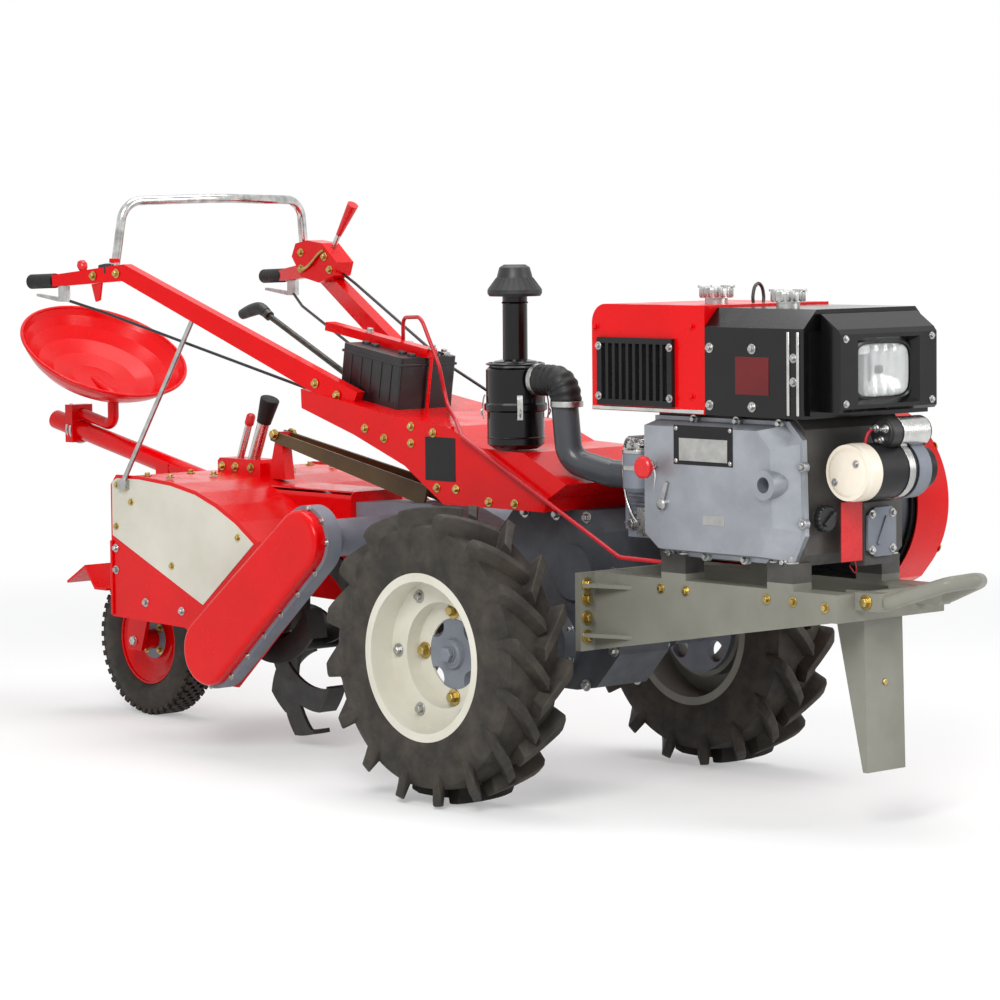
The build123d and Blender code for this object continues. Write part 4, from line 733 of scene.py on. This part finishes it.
def head_trim():
    """Filter collar, red tap, fuel pipes and unions, nuts and ribs on the head, and the speed lever."""
    cap = lathe([(0, 0), (35.5, 0), (35.5, 7), (30, 11), (12, 11), (12, 22), (6, 24), (0, 24)], 40)
    ring = band(34.1, 35.3, -5, 5, 40)
    collar = joined([shifted(cap, (320, -139, 742)), shifted(ring, (320, -139, 712))])
    piece("filter_collar", collar, STEEL, bevel=0.6)
    tap = lathe([(0, 10), (19, 9), (23, 5), (23, -4), (17, -8), (8, -8), (6, -30), (0, -30)], 36)
    piece("fuel_tap", at(tap, (428, -232, 722), RIGHT), RED_PLASTIC, bevel=0.8)
    pipes = [
        [(428, -204, 722), (428, -198, 700), (420, -196, 660), (404, -190, 640), (372, -160, 634),
         (356, -126, 652)],
        [(332, -139, 764), (352, -146, 778), (384, -152, 772), (402, -168, 748), (412, -200, 726)],
        [(308, -139, 764), (290, -140, 772), (270, -132, 752), (262, -128, 700), (268, -124, 640),
         (300, -128, 598), (334, -130, 592)],
        [(356, -110, 650), (352, -108, 700), (330, -104, 730), (290, -100, 742), (246, -96, 730),
         (232, -88, 700)],
    ]
    piece("fuel_pipes", joined([tube(p, 3.2, 10, 8, (0.3, 1, 0.2)) for p in pipes]), SILVER)
    unions = [(428, -208, 722), (356, -110, 656), (332, -139, 762), (308, -139, 762), (336, -128, 594)]
    screws("pipe_unions", unions, (0, -0.4, 1), 12, height=10)
    nuts = [(356, 590), (356, 650), (356, 752), (260, 590), (260, 752)]
    screws("head_nuts", at_y(nuts, -95), RIGHT, 17, height=12)
    screws("rocker_screws", [(212, y, z) for y in (-62, 0, 62) for z in (586, 746)], REAR, 12)
    fins = [plate(rect(246, z, 378, z + 5), -103, -94) for z in (610, 628, 646, 664, 682)]
    piece("head_ribs", joined(fins), BLUE_CASTING, bevel=0.8)
    boss = lathe([(0, 0), (12, 0), (12, 8), (8, 11), (0, 11)], 24)
    lever = joined([plate([(440, 640), (452, 636), (470, 690), (462, 694)], -206, -200.5),
                    at(boss, (452, -200, 646), RIGHT)])
    piece("speed_lever", lever, STEEL, bevel=0.6)


# Console, tiller, tail and frame


def console_trim():
    """Screws and bare plate on the console; ribs, lid edge, vent caps, posts and nuts on the battery."""
    y = -170.0
    spots = [(-527, 762), (-461, 742), (-369, 772), (-369, 735), (-295, 761), (-283, 640), (-220, 640),
             (-113, 618), (-30, 618)]
    for side, word, out in SIDES:
        screws("console_screws_" + word, at_y(spots, -side * y), out, 11, ZINC)
    bare = plate(rect(-321, 656, -222, 752), y - 1.4, y + 0.2)
    piece("console_blank_plate", bare, SATIN_BLACK, bevel=0.5)
    # The battery stands on the console's slope, from 844 down to 795 mm over its length
    slope = math.atan2(844 - 795, 755 - 440)
    seat = turned((-587.0, -28.0, 844 - (755 - 587.0) * math.tan(slope)), slope, "Y")
    ribs = [plate(rect(u - 3, 12, u + 3, 96), side * 82.5, side * 84.2)
            for side in (-1, 1) for u in (-70, -35, 0, 35, 70)]
    lid = plate(rect(-104.5, 98, 104.5, 104), -84.5, 84.5)
    vent = lathe([(0, 124), (9, 124), (10, 122), (10, 117), (0, 117)], 20)
    vents = [shifted(vent, (u, v, 0)) for u in (-80, -48, 48, 80) for v in (34, -34)]
    post = joined([lathe([(0, 132), (7, 132), (8, 117), (0, 117)], 20),
                   plate(rect(-11, -9, 11, 9), 120, 126, "z")])
    posts = [shifted(post, (u, v, 0)) for u, v in ((-20, 46), (86, 58))]
    nuts = [shifted(hex_head(13, 8, 1.6), (u, 0, 138.2)) for u in (-110.5, 110.5)]
    for name, shape, finish, slot, bevel in (
            ("battery_ribs", joined(ribs), BATTERY, "black_plastic", 0.8),
            ("battery_lid_edge", lid, BATTERY, "black_plastic", 1.2),
            ("battery_vents", joined(vents), BLACK_PLASTIC, "black_plastic", 0.6),
            ("battery_posts", joined(posts), STEEL, "zinc_steel", 0.6),
            ("strap_nuts", joined(nuts), STEEL, "zinc_steel", 0.4)):
        piece(name, moved(shape, seat), finish, bevel=bevel)


def tiller_trim():
    """Screws on the white panels, side plates and chain cover's rim, and the plates' folded rear edges."""
    panel = [(-1286, 604), (-1250, 600), (-1230, 566), (-822, 506), (-1074, 424), (-1290, 505)]
    edge = [(-1296, 452), (-1296, 400), (-1180, 330), (-1040, 320)]
    for side, word, out in SIDES:
        screws("panel_screws_" + word, at_y(panel, side * 306), out, 9, ZINC)
        screws("plate_screws_" + word, at_y(edge, side * 304), out, 11)
        lip = plate(rect(-1314, 292, -1306, 470), side * 304, side * 309)
        piece("plate_lip_" + word, lip, RED, bevel=1.0)
    # Places round the chain cover: the straight runs, then an arc about each sprocket's centre
    top, low = np.array([DRIVE_X, DRIVE_Z]), np.array([ROTOR_X, ROTOR_Z])
    along = (low - top) / np.linalg.norm(low - top)
    across = np.array([-along[1], along[0]])
    rim = [tuple(top + along * d + across * side * (73.5 + 9.5 * d / 437))
           for d in np.linspace(20, 420, 6) for side in (-1, 1)]
    rim += ring_of(low, 83, 180 * np.array([0.98, 1.22, 1.46]))
    rim += ring_of(top, 73, 180 * np.array([0.0, 0.22, 0.44]))
    screws("chain_cover_screws", at_y(rim, -344), RIGHT, 8.5, height=4.5)
    cap = lathe([(0, 0), (40, 0), (44, -3), (44, -10), (0, -10)], 40)
    hub = joined([at(cap, (ROTOR_X, 308, ROTOR_Z), LEFT),
                  at(hex_head(34, 16, 1.3), (ROTOR_X, 307, ROTOR_Z), LEFT)])
    piece("left_bearing_cap", hub, BLUE_CASTING, bevel=1.2)
    bearing = at_y(ring_of((ROTOR_X, ROTOR_Z), 58, range(45, 405, 90)), 306)
    screws("left_bearing_screws", bearing, LEFT, 13)
    plug = at(hex_head(20, 9, 1.3), (DRIVE_X, 306, DRIVE_Z), LEFT)
    piece("cross_tube_plug", plug, STEEL, bevel=0.6)


def tail_wheel_trim():
    """Tail tyre's cover with knobs over its tread and shoulders, hub plates, screws and axle nuts."""
    knobs, shoulder_lean = 46, 0.62
    crown = plate(rect(-8.5, -6.5, 8.5, 6.5), 180.0, 189.8, "z")
    shoulder = plate(rect(-6.5, -4, 6.5, 4), -7.0, 7.0, "z")
    places = [(crown, 0.5 * (row % 2), Matrix.Translation((0, y, 0)))
              for row, y in enumerate((-26.0, -13.0, 0.0, 13.0, 26.0))]
    places += [(shoulder, 0.5, turned((0, side * 38.0, 178.0), -side * shoulder_lean, "X"))
               for side in (-1, 1)]
    shapes = [moved(knob, Matrix.Rotation(TURN * (i + share) / knobs, 4, "Y") @ place)
              for knob, share, place in places for i in range(knobs)]
    axle = Matrix.Translation((TAIL_X, 0, TAIL_Z))
    piece("tail_tyre_knobs", moved(joined(shapes), axle), TYRE, "tail_wheel", bevel=0.8,
          segments=1)
    half = [(112.6, 30), (114, 34), (122, 43), (136, 47.5), (152, 46), (168, 42), (178, 37), (181.5, 28)]
    body = lathe(half + [(r, -y) for r, y in reversed(half)] + [(130, -30), (130, 30), half[0]], 80)
    turn = turned((TAIL_X, 0, TAIL_Z), math.pi / 2, "X")
    cover = piece("tail_tyre_cover", moved(body, turn), TYRE, "tail_wheel")
    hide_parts("tail_tyre")
    for side, word, out in SIDES:
        hub = at_y(ring_of((TAIL_X, TAIL_Z), 38, range(45, 405, 90)), side * 16)
        screws("tail_hub_screws_" + word, hub, out, 12, ZINC, body="tail_wheel")
        disc = at(band(25, 49.5, 0, 1.2, 44), (TAIL_X, side * 15.8, TAIL_Z), out)
        piece("tail_hub_plate_" + word, disc, BLUE_CASTING, "tail_wheel")
        nut = at(hex_head(20, 6, 1.2, 0.1), (TAIL_X, side * 77.0, TAIL_Z), out)
        piece("tail_axle_nut_" + word, nut, STEEL, bevel=0.5)


def frame_trim():
    """Screws of the frame, engine feet, bumper, gearbox and axle, and the stand's pin ends and spring."""
    screws("mount_screws", [(206, -184, z) for z in (352, 392, 432, 462)], FRONT, 16, ZINC)
    feet = [(x + dx, side * 148, 541) for x in (440, 740) for dx in (-22, 22) for side in (-1, 1)]
    screws("foot_screws", feet, UP, 16, height=11)
    rail = [(704, 466), (776, 466), (404, 466), (476, 466), (862, 460)]
    screws("rail_screws", at_y(rail, -160), RIGHT, 11, ZINC)
    pin = lathe([(0, 3), (10.5, 3), (12, 1.5), (12, 0), (0, 0)], 24)
    for side, word, out in SIDES:
        screws("bumper_screws_" + word, [(924, side * 108, 472)], out, 16, ZINC)
        end = at(pin, (858, side * 72, 464), out)
        piece("stand_pin_end_" + word, end, STEEL, body="front_stand", bevel=0.4)
    # Spring: a helix whose axis leans back as it goes down
    turns = np.linspace(0, TURN * 15, 240)
    share = turns / turns[-1]
    coil = np.stack([842 - 6 * np.cos(turns) - 10 * share, -40 + 6 * np.sin(turns), 398 - 92 * share], 1)
    piece("stand_spring", sweep(coil, circle(1.3, 6), (0, 0.1, 1)), STEEL, body="front_stand")
    screws("stand_screws", [(870, 0, 300)], (1, 0, 0.03), 12, ZINC, body="front_stand")
    rear = [(-176, 345), (-176, 440), (-176, 530), (-100, 592), (0, 592)]
    rest = [(176, 390), (176, 310), (90, 228), (-90, 240)]
    screws("gearbox_screws_right", at_y(rear + [(95, 590), (176, 475)] + rest, -75), RIGHT, 14, height=9)
    screws("gearbox_screws_left", at_y(rear + rest, 75), LEFT, 14, height=9)
    for side, word, out in SIDES:
        trumpet = at_y(ring_of((0, AXLE_Z), 64, range(30, 390, 60)), side * 89)
        screws("trumpet_screws_" + word, trumpet, out, 12)


def handle_trim():
    """Ribbed rubber grips, hoop clamps, screws, switch box and small fittings on the arms."""
    arm = [(-640, 158, 832), (-700, 172, 858), (-1262, 316, 1108), (-1330, 334, 1102)]
    t = np.linspace(0.03, 0.985, 60)
    ripple = 1.0 + 0.03 * (np.cos(np.linspace(0, TURN * 12, 60)) > 0)
    clamp = band(11, 13.4, -5, 5, 24)
    for side, word, out in SIDES:
        start, end = np.array([-1457.0, side * 352.0, 1090.0]), np.array([-1549.0, side * 359.0, 1087.0])
        grip = sweep(start + t[:, None] * (end - start), circle(17.2, 28), UP, ripple)
        piece("grip_ribs_" + word, grip, GRIP)
        clamps = joined([shifted(clamp, (-1300, side * 292, z)) for z in (1122, 1138)])
        piece("hoop_clamps_" + word, clamps, RED, bevel=0.6)
        screws("arm_screws_" + word, [(x, side * y, z) for x, y, z in arm], out, 12, ZINC)
    knob = lathe([(0, 30), (9, 27), (13, 18), (11, 8), (6, 0), (0, 0)], 24)
    piece("arm_knob", at(knob, (-1372, -330, 1112), (-0.5, 0, 1)), RED_PLASTIC)
    box = plate([(-1322, 1104), (-1292, 1108), (-1292, 1132), (-1322, 1128)], -326, -306)
    piece("switch_box", box, BLACK_PLASTIC, bevel=2.5)
    bracket = plate([(-1350, 1082), (-1309, 1086), (-1318, 1044), (-1334, 1040)], -326, -320)
    piece("cable_bracket", bracket, RED, bevel=1.0)
    shank = sweep([(-1156, 256, 1150), (-1125, 256, 1193), (-1113, 256, 1209)], circle(6.6, 16), (0, 1, 0))
    piece("clutch_shank", shank, SILVER)
    control = [(-1240, 1150), (-1240, 1110), (-1150, 1140), (-1130, 1108)]
    screws("control_box_screws", at_y(control, 230), RIGHT, 11, ZINC)
    link = [(-1236, 226, 1104), (-1200, 224, 1120), (-1168, 226, 1146), (-1150, 228, 1156)]
    piece("clutch_link", tube(link, 4, 10, 6, (0, 1, 0)), ZINC)
    # Grip of the gear lever: a flattened bulb along the crank's last run
    path = curve([(-1040, -40, 1011), (-1066, -40, 1021), (-1098, -40, 1016), (-1133, -40, 1006)], 10)
    swell = 1.0 + 0.25 * np.sin(np.linspace(0, math.pi, len(path)))
    piece("gear_grip", sweep(path, circle(12.4, 20), (0, 1, 0), swell), BLACK_PLASTIC)


def depth_trim():
    """Black flared grip on the depth screw, red tip on its lock, the cone's pin, and the hood's screws."""
    top = 623.0
    foot, head = np.array([-1152.0, 0, top + 20]), np.array([-1104.0, 0, top + 128])
    grip = lathe([(0, -6), (17.5, -6), (18, 0), (23.2, 50), (23.4, 56), (21, 58), (0, 58)], 36)
    piece("screw_grip", at(grip, head, head - foot), GRIP, bevel=0.8)
    tip = lathe([(0, 26), (8, 25), (11, 20), (11.5, 0), (9.2, -4), (0, -4)], 28)
    piece("lock_tip", at(tip, (-1163, 0, top + 118), (42, 0, 98)), RED_PLASTIC, bevel=0.6)
    pin = joined([at(hex_head(18, 9, 1.4), (-1034, side * 24, top + 98), out) for side, _, out in SIDES])
    piece("cone_pin", pin, ZINC, bevel=0.4)
    screws("clamp_screws", [(x, -30, top + 14) for x in (-1232, -1180, -1120)], RIGHT, 12, ZINC)
    hood = [(x, y, 624.5) for x in (-1240, -1150) for y in (-250, 250, -120, 120)]
    screws("hood_screws", hood, UP, 11, ZINC)


def seat_trim():
    """Rolled edge round the seat's rim, U-bolts on the beam and the fork's screws.

    The rim is an ellipse, (199 cos a, 223 sin a); the roll is a circle about each of its points.
    """
    sides, roll_r = 96, 4.2
    a = angles(sides)
    rim = np.stack([199.0 * np.cos(a), 223.0 * np.sin(a), 0 * a - 1.0], 1)
    out = rim / np.linalg.norm(rim, axis=1, keepdims=True)
    ring = circle(roll_r, 10)
    points = rim[:, None] + ring[None, :, 0:1] * out[:, None] + ring[None, :, 1:2] * np.array(UP)
    roll = (points.reshape(-1, 3), grid_faces(sides, len(ring), wrap_rows=True))
    piece("seat_rim_roll", moved(roll, turned((-1750, 0, 904), math.radians(33), "Y")), RED)
    t = np.linspace(-0.1 * math.pi, 1.1 * math.pi, 28)
    bolts = []
    for x in (-1858, -1872):
        beam_z = 718 - (x + 1943) * 0.2035
        path = np.stack([0 * t + x, 33 * np.cos(t), beam_z - 33 * np.sin(t)], 1)
        bolts.append(sweep(path, circle(4, 10), (1, 0, 0)))
    piece("seat_u_bolts", joined(bolts), STEEL)
    screws("fork_screws", [(TAIL_X + 60, side * 76, 398) for side in (-1, 1)], LEFT, 12, ZINC)


def guard_trim():
    """Screws round the belt guard's two ends."""
    spots = ring_of((589, 640), 192, [-30, 35, 95, 150]) + ring_of((60, 560), 104, [110, 180, 250])
    screws("guard_screws", at_y(spots, 296), LEFT, 13, ZINC)


for build in (drive_tyres, wheel_screws, cover_screws, rating_plate, crank_socket_ring, starter_trim,
              oil_filler, pump_block_trim, tank_trim, radiator_trim, lamp_lens, cleaner_trim, head_trim,
              console_trim, tiller_trim, tail_wheel_trim, frame_trim, handle_trim, depth_trim, seat_trim,
              guard_trim):
    build()


# Camera, floor and light


def camera():
    """The photograph's viewpoint: three-quarter from the front right, a little above the hood."""
    sensor_mm, focal_px, photo_px = 36.0, 3582.0, 1000
    data = bpy.data.cameras.new("photo_view")
    eye = new_object("photo_view", data)
    yaw, pitch, roll = math.radians(47.69), math.radians(-3.45), math.radians(-0.51)
    look = (Matrix.Rotation(yaw, 4, "Z") @ Matrix.Rotation(math.pi / 2 + pitch, 4, "X")
            @ Matrix.Rotation(roll, 4, "Z"))
    eye.matrix_world = Matrix.Translation(Vector(to_frame((5634.2, -5356.8, 1245.1)))) @ look
    data.sensor_width = sensor_mm
    data.lens = focal_px / photo_px * sensor_mm
    data.shift_x = -0.0036
    data.shift_y = -0.072
    data.clip_end = 60.0
    bpy.context.scene.camera = eye


def lamp(name, place, aim, size, power):
    """A square soft white light that looks at a point."""
    data = bpy.data.lights.new(name, "AREA")
    data.size = size
    data.energy = power
    new_object(name, data).matrix_world = facing(place, Vector(place) - Vector(aim))


def seen_rays(tree):
    """1 for rays that show the surround: straight to the camera, or by way of gloss or glass."""
    path = add(tree, "ShaderNodeLightPath").outputs
    bounced = maths(tree, "MAXIMUM", path["Is Glossy Ray"], path["Is Transmission Ray"])
    return maths(tree, "MAXIMUM", path["Is Camera Ray"], bounced)


def studio():
    """Pale floor that fades to white far off, a white surround and three large soft lights."""
    mesh = bpy.data.meshes.new("floor")
    edge = 14.0
    mesh.from_pydata([(x, y, 0) for x, y in rect(-edge, -edge, edge, edge)], [], [(0, 1, 2, 3)])
    floor = new_object("floor", mesh)
    finish, tree, shader = new_finish("pale_floor", "#F4F4F3", 0.9)
    far = add(tree, "ShaderNodeVectorMath", {"operation": "LENGTH"}, {0: place_on(tree)}).outputs["Value"]
    share = maths(tree, "MULTIPLY", spread(tree, far, 2.2, 4.6, 0.35, 1.0), seen_rays(tree))
    glow = add(tree, "ShaderNodeEmission", {"Color": linear("#FFFFFF"), "Strength": 1.0})
    mix = add(tree, "ShaderNodeMixShader", None, {0: share, 1: shader.outputs[0], 2: glow.outputs[0]})
    tree.links.new(mix.outputs[0], tree.nodes["Material Output"].inputs["Surface"])
    mesh.materials.append(finish)
    world = bpy.data.worlds.new("surround")
    bpy.context.scene.world = world
    world.use_nodes = True
    tree = world.node_tree
    back = tree.nodes["Background"]
    back.inputs["Color"].default_value = linear("#F2F4F7")
    back.inputs["Strength"].default_value = 0.5
    white = add(tree, "ShaderNodeBackground", {"Color": linear("#FFFFFF"), "Strength": 1.0})
    links = {0: seen_rays(tree), 1: back.outputs[0], 2: white.outputs[0]}
    mix = add(tree, "ShaderNodeMixShader", None, links)
    tree.links.new(mix.outputs[0], tree.nodes["World Output"].inputs["Surface"])
    lamp("key", (3.6, -4.6, 4.2), (0, 0, 0.6), 2.6, 300)
    lamp("fill", (5.2, 2.6, 2.6), (0, 0, 0.6), 2.4, 105)
    lamp("top", (-0.5, 0.5, 4.6), (0, 0, 0.5), 3.2, 120)
    bpy.context.scene.view_settings.view_transform = "Standard"


camera()
studio()
